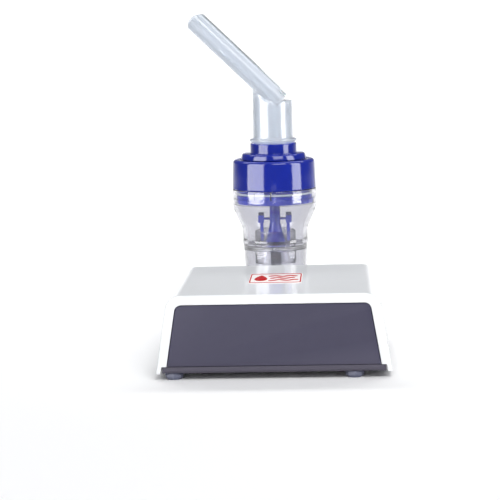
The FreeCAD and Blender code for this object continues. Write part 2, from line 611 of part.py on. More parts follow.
def motor():
    left = "(dims.motor_right - dims.motor_length)"
    can = cut(
        along_crank("dims.motor_radius", "dims.motor_length - 4", f"{left} + 4"),
        along_crank("dims.motor_radius - dims.motor_wall", "dims.motor_length - 4 - dims.motor_wall",
                    f"{left} + 4 - 0.01"),
        along_crank("dims.bush_radius", "dims.motor_length", left),
    )
    screw_places = [f"({CRANK_Y} + {side})" for side in (-8, 8)]
    can = cut(can, *[along_crank("1.25", "8", "dims.motor_right - 4", y) for y in screw_places])
    keep(can, "motor_can")
    keep(group(*[
        fuse(
            along_crank("1.2", "dims.frame_plate + 2.5", "dims.motor_right - 2.5", y),
            along_crank("2.2", "1.3", "dims.motor_right + dims.frame_plate", y),
        )
        for y in screw_places
    ]), "motor_screws")
    bell = cut(
        along_crank("dims.motor_radius", "4", left),
        along_crank("dims.motor_radius - 2", "3", f"{left} + 1.5"),
        along_crank("dims.bush_radius", "8", f"{left} - 1"),
    )
    keep(bell, "motor_end_bell")
    bore = along_crank("dims.shaft_radius + dims.running_gap", "dims.motor_length + 8", f"{left} - 4")
    bushes = [
        along_crank("dims.bush_radius", "dims.bush_length", "dims.motor_right - dims.motor_wall - 1"),
        along_crank("dims.bush_radius", "dims.bush_length", f"{left} - 0.5"),
    ]
    keep(group(*[cut(bush, bore) for bush in bushes]), "motor_bushes")
    sleeve = cut(
        along_crank("dims.motor_radius - dims.motor_wall", "dims.armature_length", f"{left} + 9"),
        along_crank("dims.motor_radius - dims.motor_wall - dims.magnet_thickness",
                    "dims.armature_length + 2", f"{left} + 8"),
    )
    halves = [
        common(sleeve, box("dims.motor_length", "2 * dims.motor_radius", "dims.motor_radius", left,
                           f"{CRANK_Y} - dims.motor_radius", z))
        for z in ("dims.crank_height + 2.5", "dims.crank_height - 2.5 - dims.motor_radius")
    ]
    keep(group(*halves), "motor_magnets")
    stack = cut(
        along_crank("dims.armature_radius", "dims.armature_length - 2", f"{left} + 10"),
        along_crank("dims.shaft_radius", "dims.motor_length", left),
    )
    keep(stack, "motor_armature")
    commutator = cut(
        along_crank("dims.bush_radius + 0.8", "4.5", f"{left} + 4.6"),
        along_crank("dims.shaft_radius", "dims.motor_length", left),
    )
    keep(commutator, "motor_commutator")
    keep(along_crank("dims.shaft_radius", "dims.shaft_right - dims.shaft_left", "dims.shaft_left"),
         "motor_shaft")
    blades = []
    for turn in (i * 360 / FAN_BLADES for i in range(FAN_BLADES)):
        c, k = f"cos({turn} * 1 deg)", f"sin({turn} * 1 deg)"
        blades.append(box(
            "dims.fan_width", "dims.fan_radius - 3", "0.8", "dims.shaft_left + 0.5",
            f"{CRANK_Y} + 2.5 * {c} + 0.4 * {k}", f"dims.crank_height + 2.5 * {k} - 0.4 * {c}",
            FreeCAD.Rotation(FreeCAD.Vector(1, 0, 0), turn),
        ))
    hub = along_crank("3.2", "dims.fan_width", "dims.shaft_left + 0.5")
    keep(cut(fuse(hub, *blades), along_crank("dims.shaft_radius", "20", "dims.shaft_left - 5")),
         "cooling_fan")


def crank_and_rod():
    """The wobble piston: its rod runs on the crank pin, and its cup seals the bore."""
    pin_y = f"({CRANK_Y} + dims.throw)"
    z = "dims.crank_height"
    start = "(dims.crank_x - dims.bearing_width / 2 - 0.6 - dims.weight_width)"
    weight = common(
        along_crank("dims.weight_radius", "dims.weight_width", start),
        box("30", "30", "30", "-10", f"{CRANK_Y} - 26.5", f"{z} - 15"),
    )
    crank = fuse(
        cut(weight, along_crank("dims.shaft_radius", "30", "-10")),
        cylinder("dims.pin_radius", "dims.pin_length - dims.weight_width + 1", f"{start} + dims.weight_width",
                 pin_y, z, TURN_TO_X),
    )
    keep(crank, "crank")
    middle = "(dims.crank_x - dims.bearing_width / 2)"
    bearing = cut(
        cylinder("dims.bearing_radius", "dims.bearing_width", middle, pin_y, z, TURN_TO_X),
        cylinder("dims.pin_radius + dims.running_gap", "20", "0", pin_y, z, TURN_TO_X),
    )
    keep(bearing, "crank_bearing")
    ring = cylinder("dims.rod_ring", "dims.rod_width", "dims.crank_x - dims.rod_width / 2", pin_y, z,
                    TURN_TO_X)
    shank = centred_box("dims.rod_width", "dims.rod_length - 4", "6", "dims.crank_x",
                        f"({pin_y} + 4 + (dims.rod_length - 4) / 2)", f"({z} - 3)")
    crown = f"({pin_y} + dims.rod_length)"
    disc = cylinder("dims.piston_radius", "dims.piston_height", "dims.crank_x", crown, z, TURN_TO_BACK)
    hole = cylinder("dims.bearing_radius", "20", "0", pin_y, z, TURN_TO_X)
    pilot = cylinder("0.95", "8", "dims.crank_x", f"{crown} - 2", z, TURN_TO_BACK)
    keep(cut(fuse(ring, shank, disc), hole, pilot), "piston_rod")
    seal_y = f"({crown} + dims.piston_height)"
    seal = cut(
        fuse(
            cylinder("dims.cup_seal_radius", "0.6", "dims.crank_x", seal_y, z, TURN_TO_BACK),
            cut(
                cylinder("dims.cup_seal_radius", "2.2", "dims.crank_x", seal_y, z, TURN_TO_BACK),
                cylinder("dims.cup_seal_radius - 0.7", "4", "dims.crank_x", seal_y, z, TURN_TO_BACK),
            ),
        ),
        cylinder("1.2", "8", "dims.crank_x", f"{seal_y} - 2", z, TURN_TO_BACK),
    )
    keep(seal, "piston_cup")
    clamp = cut(
        cylinder("dims.piston_radius - 1.6", "1.2", "dims.crank_x", f"{seal_y} + 0.6", z, TURN_TO_BACK),
        cylinder("1.2", "8", "dims.crank_x", f"{seal_y} - 2", z, TURN_TO_BACK),
    )
    keep(clamp, "piston_clamp_plate")
    screw = fuse(
        cylinder("0.95", "6.5", "dims.crank_x", f"{seal_y} - 4.7", z, TURN_TO_BACK),
        cylinder("2", "0.9", "dims.crank_x", f"{seal_y} + 1.8", z, TURN_TO_BACK),
    )
    keep(screw, "piston_screw")


def pump():
    x, z = "dims.crank_x", "dims.crank_height"
    start = f"({CRANK_Y} + dims.cylinder_start)"
    length = "(dims.cylinder_end - dims.cylinder_start)"
    bore = cylinder("dims.bore_radius", "60", x, CRANK_Y, z, TURN_TO_BACK)
    barrel = cut(cylinder("dims.cylinder_radius", length, x, start, z, TURN_TO_BACK), bore)
    keep(barrel, "cylinder_barrel")
    end = f"({CRANK_Y} + dims.cylinder_end)"
    corners = [(sx, sz) for sx in (-1, 1) for sz in (-1, 1)]
    reach = "(dims.head_half - 2.4)"
    screw_holes = [
        cylinder("1.1", "40", f"({x} + {sx} * {reach})", f"({end} - 20)", f"({z} + {sz} * {reach})",
                 TURN_TO_BACK)
        for sx, sz in corners
    ]
    ports = [
        cylinder("1.6", "40", f"({x} + {side})", f"({end} - 20)", z, TURN_TO_BACK)
        for side in ("-4.5", "4.5")
    ]
    square = "2 * dims.head_half"
    plate = box(square, "dims.valve_thickness", square, f"{x} - dims.head_half", end, f"{z} - dims.head_half")
    keep(cut(plate, *screw_holes, *ports), "valve_plate")
    reed_y = f"({end} + dims.valve_thickness)"
    reeds = [
        box("4.4", "dims.reed_thickness", "8", f"{x} + {side} - 2.2", place_y, f"{z} - 4")
        for side, place_y in (("4.5", reed_y), ("-4.5", f"{end} - dims.reed_thickness - 0.02"))
    ]
    keep(group(*reeds), "reed_valves")
    block = box(square, "dims.head_depth - dims.valve_thickness", square, f"{x} - dims.head_half",
                f"{reed_y} + 0.02", f"{z} - dims.head_half")
    chambers = [
        box("9", "dims.head_depth - dims.valve_thickness - 3", "18", f"{x} + {side}", f"{reed_y} - 1",
            f"{z} - 9")
        for side in ("1", "-10")
    ]
    port_y = f"({end} + dims.head_depth / 2 + 1)"
    edge = f"({x} + dims.head_half)"
    spigots = [
        cylinder("dims.tube_inner - 0.05", "4.4", f"{edge} - 1", port_y, height, TURN_TO_X)
        for height in ("dims.port_high", "dims.port_low")
    ]
    drillings = [
        cylinder("0.9", "12", f"{edge} - 4", port_y, "dims.port_high", TURN_TO_X),
        cylinder("0.9", "30", f"{edge} - 22", port_y, "dims.port_low", TURN_TO_X),
    ]
    keep(cut(fuse(cut(block, *chambers, *screw_holes), *spigots), *drillings), "cylinder_head")
    screws = [
        fuse(
            cylinder("1.05", "15", f"({x} + {sx} * {reach})", f"({end} + dims.head_depth - 14.9)",
                     f"({z} + {sz} * {reach})", TURN_TO_BACK),
            cylinder("2.1", "1.4", f"({x} + {sx} * {reach})", f"({end} + dims.head_depth + 0.1)",
                     f"({z} + {sz} * {reach})", TURN_TO_BACK),
        )
        for sx, sz in corners
    ]
    keep(group(*screws), "head_screws")
    pump_frame(start, screw_holes)
    pump_tubes(edge, port_y)


def frame_corners():
    return [
        (x, y)
        for x in ("(dims.motor_right + 4)", "(dims.crank_x + dims.head_half - 3)")
        for y in (f"({CRANK_Y} - 11)", f"({CRANK_Y} + dims.cylinder_end - 9)")
    ]


def pump_frame(seat_y, screw_holes):
    """The bracket that carries motor and cylinder on rubber mounts."""
    x, z = "dims.crank_x", "dims.crank_height"
    left, thick = "dims.motor_right", "dims.frame_plate"
    floor = box(f"dims.crank_x + dims.head_half - {left}", "dims.cylinder_end + 15", thick,
                left, f"{CRANK_Y} - 15", "dims.frame_bottom")
    motor_plate = box(thick, "30", "27", left, f"{CRANK_Y} - 15", "dims.frame_bottom")
    seat = box("2 * dims.head_half", "4", "2 * dims.head_half + 0.1", f"{x} - dims.head_half",
               f"{CRANK_Y} + dims.cylinder_end - 4", "dims.frame_bottom")
    bores = [
        along_crank("dims.bush_radius + 0.4", "10", f"{left} - 5"),
        *[along_crank("1.25", "10", f"{left} - 5", f"({CRANK_Y} + {side})") for side in (-8, 8)],
        cylinder("dims.cylinder_radius + 0.05", "30", x, seat_y, z, TURN_TO_BACK),
    ]
    bores += [cylinder("1.3", "10", cx, cy, "dims.frame_bottom - 5") for cx, cy in frame_corners()]
    keep(cut(fuse(floor, motor_plate, seat), *bores, *screw_holes), "pump_frame")
    tray_top = "(dims.foot_height + dims.tray_floor)"
    mounts = []
    for cx, cy in frame_corners():
        pad = fuse(
            cylinder("dims.mount_radius", f"dims.frame_bottom - {tray_top}", cx, cy, tray_top),
            cylinder("1.25", "dims.frame_plate", cx, cy, "dims.frame_bottom"),
            cone("2", "1.2", "1.4", cx, cy, "dims.frame_bottom + dims.frame_plate"),
        )
        mounts.append(pad)
    keep(group(*mounts), "rubber_mounts")


def routed(points, bend):
    """A path of straight runs through points, with an arc of radius bend at each turn."""
    edges = []
    here = points[0]
    for before, corner, after in zip(points, points[1:], points[2:]):
        into, out = (corner - before).normalize(), (after - corner).normalize()
        half_turn = into.getAngle(out) / 2
        reach = bend * math.tan(half_turn)
        first, last = corner - into * reach, corner + out * reach
        middle = corner + (out - into).normalize() * (bend / math.cos(half_turn) - bend)
        edges += [Part.makeLine(here, first), Part.Arc(first, middle, last).toShape()]
        here = last
    edges.append(Part.makeLine(here, points[-1]))
    return Part.Wire(edges)


def tube(points, bend, outer, inner=None):
    """A round tube or lead along a route whose points are expressions."""
    route = [FreeCAD.Vector(*(value(size) for size in point)) for point in points]
    path = routed(route, value(bend))

    def swept(radius):
        ring = Part.Wire(Part.makeCircle(value(radius), route[0], route[1] - route[0]))
        return path.makePipeShell([ring], True, False)

    made = doc.addObject("Part::Feature", "tube")
    made.Shape = swept(outer).cut(swept(inner)) if inner else swept(outer)
    return made


def pump_tubes(edge, port_y):
    for label, x, z, end in (
        ("outlet_tube", "dims.outlet_x", "dims.port_high", PANEL_END),
        ("intake_tube", "dims.filter_x", "dims.port_low", POT_END),
    ):
        points = [(f"{edge} + 0.1", port_y, z), (x, port_y, z), (x, f"{end} - 0.1", z)]
        keep(tube(points, "dims.tube_bend", "dims.tube_outer", "dims.tube_inner"), label)


def electronics():
    y, z = f"({FRONT} + dims.board_setback)", "dims.board_height"
    keep(box("dims.board_width", "dims.board_depth", "dims.board_thickness", "dims.board_x", y, z),
         "circuit_board")
    top = f"({z} + dims.board_thickness)"
    keep(group(
        cylinder("4", "11", "dims.board_x + 12", f"{y} + 8", top),
        cylinder("3", "8", "dims.board_x + 19.5", f"{y} + 7", top),
    ), "capacitors")
    rear = [box("6", "6", "6", f"dims.board_x + {x}", f"{y} + dims.board_depth - 10", top) for x in (1, 9)]
    side = [
        box("4", "5", "6", "dims.board_x + 1", f"{CRANK_Y} + {sign} * dims.motor_terminal - 2.5", top)
        for sign in (-1, 1)
    ]
    keep(group(*rear, *side), "board_connectors")
    floor = "(dims.foot_height + dims.tray_floor)"
    posts = [
        cylinder("2", f"{z} - {floor}", f"dims.board_x + {px}", f"{y} + {py}", floor)
        for px in (3, 21) for py in (3, 31)
    ]
    keep(group(*posts), "board_posts")


def lead(start, turn_y, board_x):
    """A lead from the back panel: down to the tray, across it, and up to the board's rear edge."""
    x, _, z = start
    low, high = "dims.lead_height", "dims.lead_rise"
    rise_y = f"({FRONT} + dims.lead_rise_setback)"
    end_y = f"({FRONT} + dims.board_setback + dims.board_depth - 4)"
    points = [
        start, (x, turn_y, z), (x, turn_y, low), (board_x, turn_y, low), (board_x, rise_y, low),
        (board_x, rise_y, high), (board_x, end_y, high),
    ]
    return tube(points, "dims.lead_bend", "dims.lead_radius")


def leads():
    switch_y = f"({BACK_FACE} - dims.switch_depth - 5)"
    keep(group(
        lead(("dims.switch_x", switch_y, "dims.switch_height - 4.4"), "4", "dims.board_x + 5.4"),
        lead(("dims.switch_x", switch_y, "dims.switch_height + 4.4"), "1", "dims.board_x + 2.6"),
    ), "switch_leads")
    inner = f"({BACK_FACE} - dims.jack_depth)"
    keep(group(
        lead(("dims.jack_x + 2.8", inner, "dims.jack_height"), "9", "dims.board_x + 13.4"),
        lead(("dims.jack_x", f"{inner} - 2", "dims.jack_height"), "7", "dims.board_x + 10.6"),
    ), "inlet_leads")
    bell = "(dims.motor_right - dims.motor_length)"
    motor_leads = []
    for sign in (-1, 1):
        y, out = f"({CRANK_Y} + {sign} * dims.motor_terminal)", f"({bell} - 2.2)"
        low, high = "dims.lead_height", "dims.lead_rise"
        motor_leads.append(tube([
            (bell, y, "dims.crank_height"), (out, y, "dims.crank_height"), (out, y, low),
            ("dims.board_x - 2.2", y, low), ("dims.board_x - 2.2", y, high), ("dims.board_x + 1", y, high),
        ], "dims.lead_bend", "dims.lead_radius"))
    keep(group(*motor_leads), "motor_leads")


def nebulizer_cup():
    under = "(dims.cup_floor - dims.cup_floor_thickness)"
    well, well_inside = "dims.well_radius", "(dims.well_radius - dims.well_wall)"
    inside = "(dims.cup_radius - dims.cup_wall)"
    neck_inside = "(dims.cup_neck_radius - dims.cup_wall)"
    track = f"({inside} + dims.track_depth)"
    inner_high, inner_low = "(dims.shoulder_top + 0.4)", "(dims.shoulder_bottom + 0.4)"
    body = turned([
        ("dims.cup_foot_radius", "dims.cup_bottom"),
        ("dims.cup_floor_radius", "dims.cup_floor"),
        ("dims.bead_radius", "dims.bead_bottom"),
        ("dims.bead_radius", "dims.bead_top"),
        ("dims.cup_neck_radius", "dims.neck_bottom"),
        ("dims.cup_neck_radius + 0.1", "dims.shoulder_bottom"),
        ("dims.cup_radius", "dims.shoulder_top"),
        ("dims.lid_radius", "dims.cup_top"),
        (inside, "dims.cup_top"), (inside, "dims.track_top"),
        (track, "dims.track_top"), (track, "dims.track_bottom"),
        (inside, "dims.track_bottom"), (inside, inner_high),
        (neck_inside, inner_low),
        ("dims.cup_floor_radius - dims.cup_wall", "dims.cup_floor"),
        (well, "dims.cup_floor"), (well, "dims.well_top"),
        (well_inside, "dims.well_top"), (well_inside, "dims.cup_floor"),
        ("dims.jet_base_radius", "dims.cup_floor"), ("dims.jet_tip_radius", "dims.jet_tip"),
        ("dims.jet_hole", "dims.jet_tip"), ("dims.jet_hole", "dims.jet_tip - 1.2"),
        ("dims.inlet_bore", "dims.jet_tip - 2.5"), ("dims.inlet_bore", "dims.inlet_bottom"),
        ("dims.inlet_radius - 0.6", "dims.inlet_bottom"),
        ("dims.barb_radius", "dims.inlet_bottom + dims.barb_height"),
        ("dims.inlet_radius - 0.3", "dims.inlet_bottom + dims.barb_height"),
        ("dims.inlet_radius", under),
        (well_inside, under), (well_inside, "dims.well_bottom"),
        (well, "dims.well_bottom"), (well, under),
        ("dims.cup_floor_radius - dims.foot_wall", under),
        ("dims.cup_foot_radius - dims.foot_wall", "dims.cup_bottom"),
    ])
    round_ring(body, "dims.cup_radius", "dims.shoulder_top", "dims.shoulder_round")
    round_ring(body, "dims.cup_neck_radius + 0.1", "dims.shoulder_bottom", "dims.shoulder_round / 2")
    round_ring(body, neck_inside, inner_low, "dims.shoulder_round / 2")
    placed = place(body, NEB_X, NEB_Y)
    slots = [
        lug_block("dims.lug_width + dims.lug_play", "dims.cup_top - dims.track_bottom", "dims.track_bottom",
                  turn + UNLOCK_TURN, "dims.lug_radius + 0.35")
        for turn in LUG_TURNS
    ]
    keep(cut(placed, *slots), "nebulizer_cup")


def lug_block(width, height, bottom, turn, limit):
    """A block between the skirt's radius and limit, turned about the cup's axis."""
    wide, inner = f"({width}) / 2", "(dims.lid_skirt_radius - 2)"
    c, k = f"cos({turn} * 1 deg)", f"sin({turn} * 1 deg)"
    block = box(
        "6", width, height, f"{NEB_X} + {inner} * {c} + {wide} * {k}",
        f"{NEB_Y} + {inner} * {k} - {wide} * {c}", bottom,
        FreeCAD.Rotation(FreeCAD.Vector(0, 0, 1), turn),
    )
    outside = cylinder(limit, "200", NEB_X, NEB_Y, 0)
    inside = cylinder("dims.lid_skirt_radius - 0.2", "200", NEB_X, NEB_Y, 0)
    return cut(common(block, outside), inside)


def nebulizer_lid():
    skirt, skirt_inside = "dims.lid_skirt_radius", "(dims.lid_skirt_radius - dims.lid_skirt_wall)"
    groove = f"({skirt} - dims.seal_groove_depth)"
    groove_bottom = "(dims.lid_bottom - dims.seal_groove_bottom)"
    groove_top = "(dims.lid_bottom - dims.seal_groove_top)"
    body = turned([
        ("dims.lid_radius", "dims.lid_bottom"),
        ("dims.lid_top_radius", "dims.lid_top"),
        ("dims.lid_hole", "dims.lid_top"),
        ("dims.lid_hole", "dims.lid_top - dims.lid_plate"),
        (skirt_inside, "dims.lid_top - dims.lid_plate"),
        (skirt_inside, "dims.lid_skirt_bottom"),
        (skirt, "dims.lid_skirt_bottom"),
        (skirt, groove_bottom),
        (groove, groove_bottom),
        (groove, groove_top),
        (skirt, groove_top),
        (skirt, "dims.lid_bottom"),
    ])
    round_ring(body, "dims.lid_top_radius", "dims.lid_top", "dims.lid_round")
    round_ring(body, "dims.lid_radius", "dims.lid_bottom", "dims.lid_round / 2")
    placed = place(body, NEB_X, NEB_Y)
    lugs = [
        lug_block("dims.lug_width", "dims.lug_height", "dims.lid_skirt_bottom + 0.2", turn,
                  "dims.lug_radius")
        for turn in LUG_TURNS
    ]
    keep(fuse(placed, *lugs), "nebulizer_lid")
    seal = doc.addObject("Part::Torus", "ring")
    bind(seal, Radius1=f"{groove} + dims.seal_radius", Radius2="dims.seal_radius")
    keep(place(seal, NEB_X, NEB_Y, f"({groove_bottom} + {groove_top}) / 2"), "lid_seal")


def outlet_collar():
    spigot, stop = "(dims.lid_hole - dims.collar_gap)", "(dims.outlet_bore - dims.stop_width)"
    stop_top = "(dims.spigot_bottom + dims.stop_height)"
    body = turned([
        ("dims.outlet_bore", "dims.outlet_top"), ("dims.outlet_radius", "dims.outlet_top"),
        ("dims.outlet_radius", "dims.collar_top"), ("dims.collar_top_radius", "dims.collar_top"),
        ("dims.collar_radius", "dims.lid_top"), (spigot, "dims.lid_top"),
        (spigot, "dims.spigot_bottom"), (stop, "dims.spigot_bottom"),
        (stop, stop_top), ("dims.outlet_bore", stop_top),
    ])
    round_ring(body, "dims.collar_top_radius", "dims.collar_top", "dims.collar_round")
    keep(place(body, NEB_X, NEB_Y), "outlet_collar")


def baffle_insert():
    """The cone over the jet, on a stem from the lid, with two legs that steady it in the well."""
    hollow_top = "(dims.jet_tip + 1.2)"
    shade = turned([
        ("dims.cone_radius - dims.cone_wall", "dims.cone_bottom"), ("dims.cone_radius", "dims.cone_bottom"),
        ("dims.cone_top_radius", "dims.cone_top"), ("0", "dims.cone_top"), ("0", hollow_top),
        ("dims.cone_top_radius - 0.6", hollow_top),
    ])
    place(shade, NEB_X, NEB_Y)
    windows = centred_box("20", "2", "2", NEB_X, NEB_Y, f"{hollow_top} - 1.6")
    stem = cylinder("dims.stem_radius", "dims.spigot_bottom - dims.cone_top + 0.5", NEB_X, NEB_Y,
                    "dims.cone_top - 0.5")
    arm = centred_box("2 * dims.arm_reach", "dims.arm_width", "dims.arm_height", NEB_X, NEB_Y,
                      "dims.arm_bottom")
    limbs = []
    for side in (-1, 1):
        middle = f"({NEB_X} + {side} * (dims.leg_inner + dims.leg_outer) / 2)"
        limbs.append(centred_box("dims.leg_outer - dims.leg_inner", "dims.arm_width",
                                 "dims.arm_bottom - dims.leg_bottom", middle, NEB_Y, "dims.leg_bottom"))
        end = f"({NEB_X} + {side} * (dims.arm_reach - 1.6))"
        limbs.append(centred_box("3.2", "dims.arm_width + 1", "dims.block_height", end, NEB_Y,
                                 "dims.block_bottom"))
    spokes = [
        centred_box(length, width, "2", NEB_X, NEB_Y, "dims.spigot_bottom - 2")
        for length, width in (("25", "dims.arm_width"), ("dims.arm_width", "25"))
    ]
    keep(fuse(cut(shade, windows), stem, arm, *limbs, *spokes), "baffle_insert")


def at_lips(thing, along, across, side):
    """Places thing along the lips' tube from the elbow, up across it, and sideways."""
    angle = "dims.mouth_angle * 1 deg"
    x = f"{NEB_X} + dims.elbow_left + ({across}) * sin({angle}) - ({along}) * cos({angle})"
    z = f"dims.elbow_height + ({across}) * cos({angle}) + ({along}) * sin({angle})"
    turn = FreeCAD.Rotation(FreeCAD.Vector(0, -1, 0), 90 - value("dims.mouth_angle"))
    return bind(
        place(thing, x, f"{NEB_Y} + ({side})", z, turn), Placement__Rotation__Angle="90 - dims.mouth_angle"
    )


def lips_block(start, length, low, high, width):
    block = box(f"({high}) - ({low})", width, length)
    return at_lips(block, start, low, f"-({width}) / 2")


def flat_tube(inset, start, length):
    """The flattened tube's outline, drawn in by inset, as a solid."""
    half, straight = "dims.mouth_half", "(dims.mouth_half_width - dims.mouth_half)"
    slab = at_lips(box(f"2 * ({half} - {inset})", f"2 * {straight}", length), start, inset, f"-{straight}")
    ends = [
        at_lips(cylinder(f"{half} - {inset}", length), start, half, f"{sign} * {straight}")
        for sign in (-1, 1)
    ]
    return fuse(slab, *ends)


def lip_rounding():
    """The lips' end: a bar across the tube whose far side is the rounded rim."""
    bulge, half = "dims.lip_bulge", "dims.mouth_half"
    radius = f"(({half}) ^ 2 + ({bulge}) ^ 2) / (2 * ({bulge}))"
    bar = cylinder(radius, "60")
    angle = "dims.mouth_angle * 1 deg"
    along, across = f"(dims.mouth_length + {bulge} - {radius})", half
    x = f"{NEB_X} + dims.elbow_left + {across} * sin({angle}) - {along} * cos({angle})"
    z = f"dims.elbow_height + {across} * cos({angle}) + {along} * sin({angle})"
    return place(bar, x, f"{NEB_Y} - 30", z, TURN_TO_BACK)


def upright_tube(inset, top, elbow):
    """The round tube below the bend, with its top cut off level and along the flattened tube."""
    height = "(dims.elbow_height + 6 - dims.flange_bottom)"
    blank = cone(f"dims.tube_radius - {inset}", f"dims.tube_top_radius - {inset}", height,
                 NEB_X, NEB_Y, "dims.flange_bottom")
    above = box("60", "60", "40", f"{NEB_X} - 30", f"{NEB_Y} - 30", top)
    return cut(blank, common(lips_block("-60", "120", f"-{inset}", "60", "80"), above),
               lips_block(elbow, "40", f"-{inset} * 2", "60", "80"))


def mouthpiece():
    wall, start, port = "dims.tube_wall", "dims.mouth_start", "dims.port_length"
    end, height = "dims.mouth_length", "2 * dims.mouth_half"
    seat_height = f"({height} - dims.port_depth)"
    tip = common(
        flat_tube("0", f"-{start}", f"{start} + {end} + dims.lip_bulge"),
        fuse(lips_block(f"-{start}", f"{start} + {end}", "-5", "20", "40"), lip_rounding()),
    )
    seat = cut(
        flat_tube("0", f"-{start} - {port}", f"{port} + 1"),
        lips_block(f"-{start} - {port} - 1", f"{port} + 1", seat_height, "20", "40"),
    )
    fitting = [
        cylinder("dims.plug_radius", "dims.flange_bottom - dims.plug_bottom", NEB_X, NEB_Y,
                 "dims.plug_bottom"),
        cylinder("dims.shoulder_ring_radius", "dims.flange_bottom - dims.ring_bottom", NEB_X, NEB_Y,
                 "dims.ring_bottom"),
        cylinder("dims.flange_radius", "dims.flange_top - dims.flange_bottom", NEB_X, NEB_Y,
                 "dims.flange_bottom"),
    ]
    outside = fuse(tip, seat, upright_tube("0", "dims.ledge_top", "0"), *fitting)
    passages = [
        flat_tube(wall, f"-{start} + {wall}", f"{start} + {end} + 10"),
        cut(
            flat_tube(wall, f"-{start} - {port} + {wall}", port),
            lips_block(f"-{start} - {port} - 1", f"{port} + 2", f"{seat_height} - {wall}", "20", "40"),
        ),
        upright_tube(wall, f"dims.ledge_top - {wall}", f"-{wall}"),
        cylinder(f"dims.plug_radius - {wall}", "dims.flange_bottom - dims.plug_bottom + 1.5",
                 NEB_X, NEB_Y, "dims.plug_bottom - 1"),
        lips_block(f"-{start} - {port} + 1.4", f"{port} - 2.4", f"{seat_height} - {wall} - 1",
                   f"{seat_height} + 1", "9"),
    ]
    keep(cut(outside, *passages), "mouthpiece")
    flap_bottom = f"({seat_height} + 0.3)"
    flap = lips_block(f"-{start} - 0.35 - dims.flap_length", "dims.flap_length", flap_bottom,
                      f"{flap_bottom} + dims.flap_thickness", "dims.flap_width")
    keep(flap, "exhalation_flap")


def write_parts():
    doc.recompute()
    for thing in doc.Objects:
        if {"Invalid", "Error"} & set(thing.State):
            raise RuntimeError(f"{thing.Label} ({thing.Name}) did not build: {thing.State}")
    os.makedirs("parts", exist_ok=True)
    for old in os.listdir("parts"):
        os.remove(os.path.join("parts", old))
    for part in subparts:
        shape = part.Shape
        if shape.isNull() or not shape.isValid() or not shape.Solids:
            raise RuntimeError(f"{part.Label} has no valid solid")
        shape.exportStep(os.path.join("parts", part.Label + ".step"))
    print(len(subparts), "sub-parts written")


fill_sheet()
for build in (
    top_shell, front_panel, rear_panel, base_tray, feet, housing_screws, label_badge, nebulizer_dock,
    power_switch, power_inlet, air_outlet, air_filter, motor, crank_and_rod, pump, electronics, leads,
    nebulizer_cup, nebulizer_lid, outlet_collar, baffle_insert, mouthpiece,
):
    build()
write_parts()
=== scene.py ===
"""Looks of the tabletop nebulizer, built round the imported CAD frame, in metres in the row frame.

The compressor stands on Z = 0 with its plain front towards -Y; the jet nebulizer stands behind it.
"""
import json
import math

import bmesh
import bpy
from mathutils import Matrix, Vector


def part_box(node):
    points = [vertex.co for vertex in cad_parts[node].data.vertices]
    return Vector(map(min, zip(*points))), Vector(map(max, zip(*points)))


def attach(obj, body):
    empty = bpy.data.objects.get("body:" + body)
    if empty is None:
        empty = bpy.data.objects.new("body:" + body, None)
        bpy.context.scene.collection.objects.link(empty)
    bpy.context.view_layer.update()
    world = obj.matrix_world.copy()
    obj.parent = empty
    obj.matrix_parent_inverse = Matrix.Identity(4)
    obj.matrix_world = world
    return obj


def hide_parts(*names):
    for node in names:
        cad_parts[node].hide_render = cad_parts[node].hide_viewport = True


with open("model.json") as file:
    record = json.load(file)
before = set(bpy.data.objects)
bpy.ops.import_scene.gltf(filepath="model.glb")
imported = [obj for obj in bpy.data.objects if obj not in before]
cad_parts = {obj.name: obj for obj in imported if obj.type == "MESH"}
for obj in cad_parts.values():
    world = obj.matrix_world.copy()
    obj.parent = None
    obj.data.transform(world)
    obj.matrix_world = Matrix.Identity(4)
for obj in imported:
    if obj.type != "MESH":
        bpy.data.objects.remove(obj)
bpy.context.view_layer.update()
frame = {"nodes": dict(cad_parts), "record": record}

MM = 0.001
NODES = frame["nodes"]


# ---------------------------------------------------------------- places read from the frame

CUP_LOW, CUP_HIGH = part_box("nebulizer_cup")
SHELL_LOW, SHELL_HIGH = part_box("top_shell")
AXIS = (CUP_LOW + CUP_HIGH) / 2
BODY_CENTRE = (SHELL_LOW + SHELL_HIGH) / 2


# ---------------------------------------------------------------- materials

def srgb(red, green, blue):
    """A colour given as screen values from 0 to 255, in the linear light that shaders take."""
    def linear(level):
        share = level / 255
        return share / 12.92 if share <= 0.04045 else ((share + 0.055) / 1.055) ** 2.4
    return (linear(red), linear(green), linear(blue), 1.0)


def shader(name, colour, roughness, **sockets):
    """A new material with a Principled shader; sockets are set by name, with _ for a space."""
    made = bpy.data.materials.new(name)
    made.use_nodes = True
    principled = made.node_tree.nodes["Principled BSDF"]
    principled.inputs["Base Color"].default_value = colour
    principled.inputs["Roughness"].default_value = roughness
    for socket, level in sockets.items():
        principled.inputs[socket.replace("_", " ")].default_value = level
    return made, principled


def noise(tree, size, detail=3.0, stretch=(1, 1, 1), kind="ShaderNodeTexNoise"):
    """A noise whose features are about size metres across, fixed to the object."""
    coordinates = tree.nodes.new("ShaderNodeTexCoord")
    mapping = tree.nodes.new("ShaderNodeMapping")
    mapping.inputs["Scale"].default_value = [1 / factor for factor in stretch]
    texture = tree.nodes.new(kind)
    texture.inputs["Scale"].default_value = 1 / size
    if kind == "ShaderNodeTexNoise":
        texture.inputs["Detail"].default_value = detail
    tree.links.new(coordinates.outputs["Object"], mapping.inputs["Vector"])
    tree.links.new(mapping.outputs["Vector"], texture.inputs["Vector"])
    return texture.outputs[0]


def spread(tree, source, low, high):
    """Source, from 0 to 1, taken to low to high."""
    node = tree.nodes.new("ShaderNodeMapRange")
    node.inputs["To Min"].default_value = low
    node.inputs["To Max"].default_value = high
    tree.links.new(source, node.inputs["Value"])
    return node.outputs["Result"]


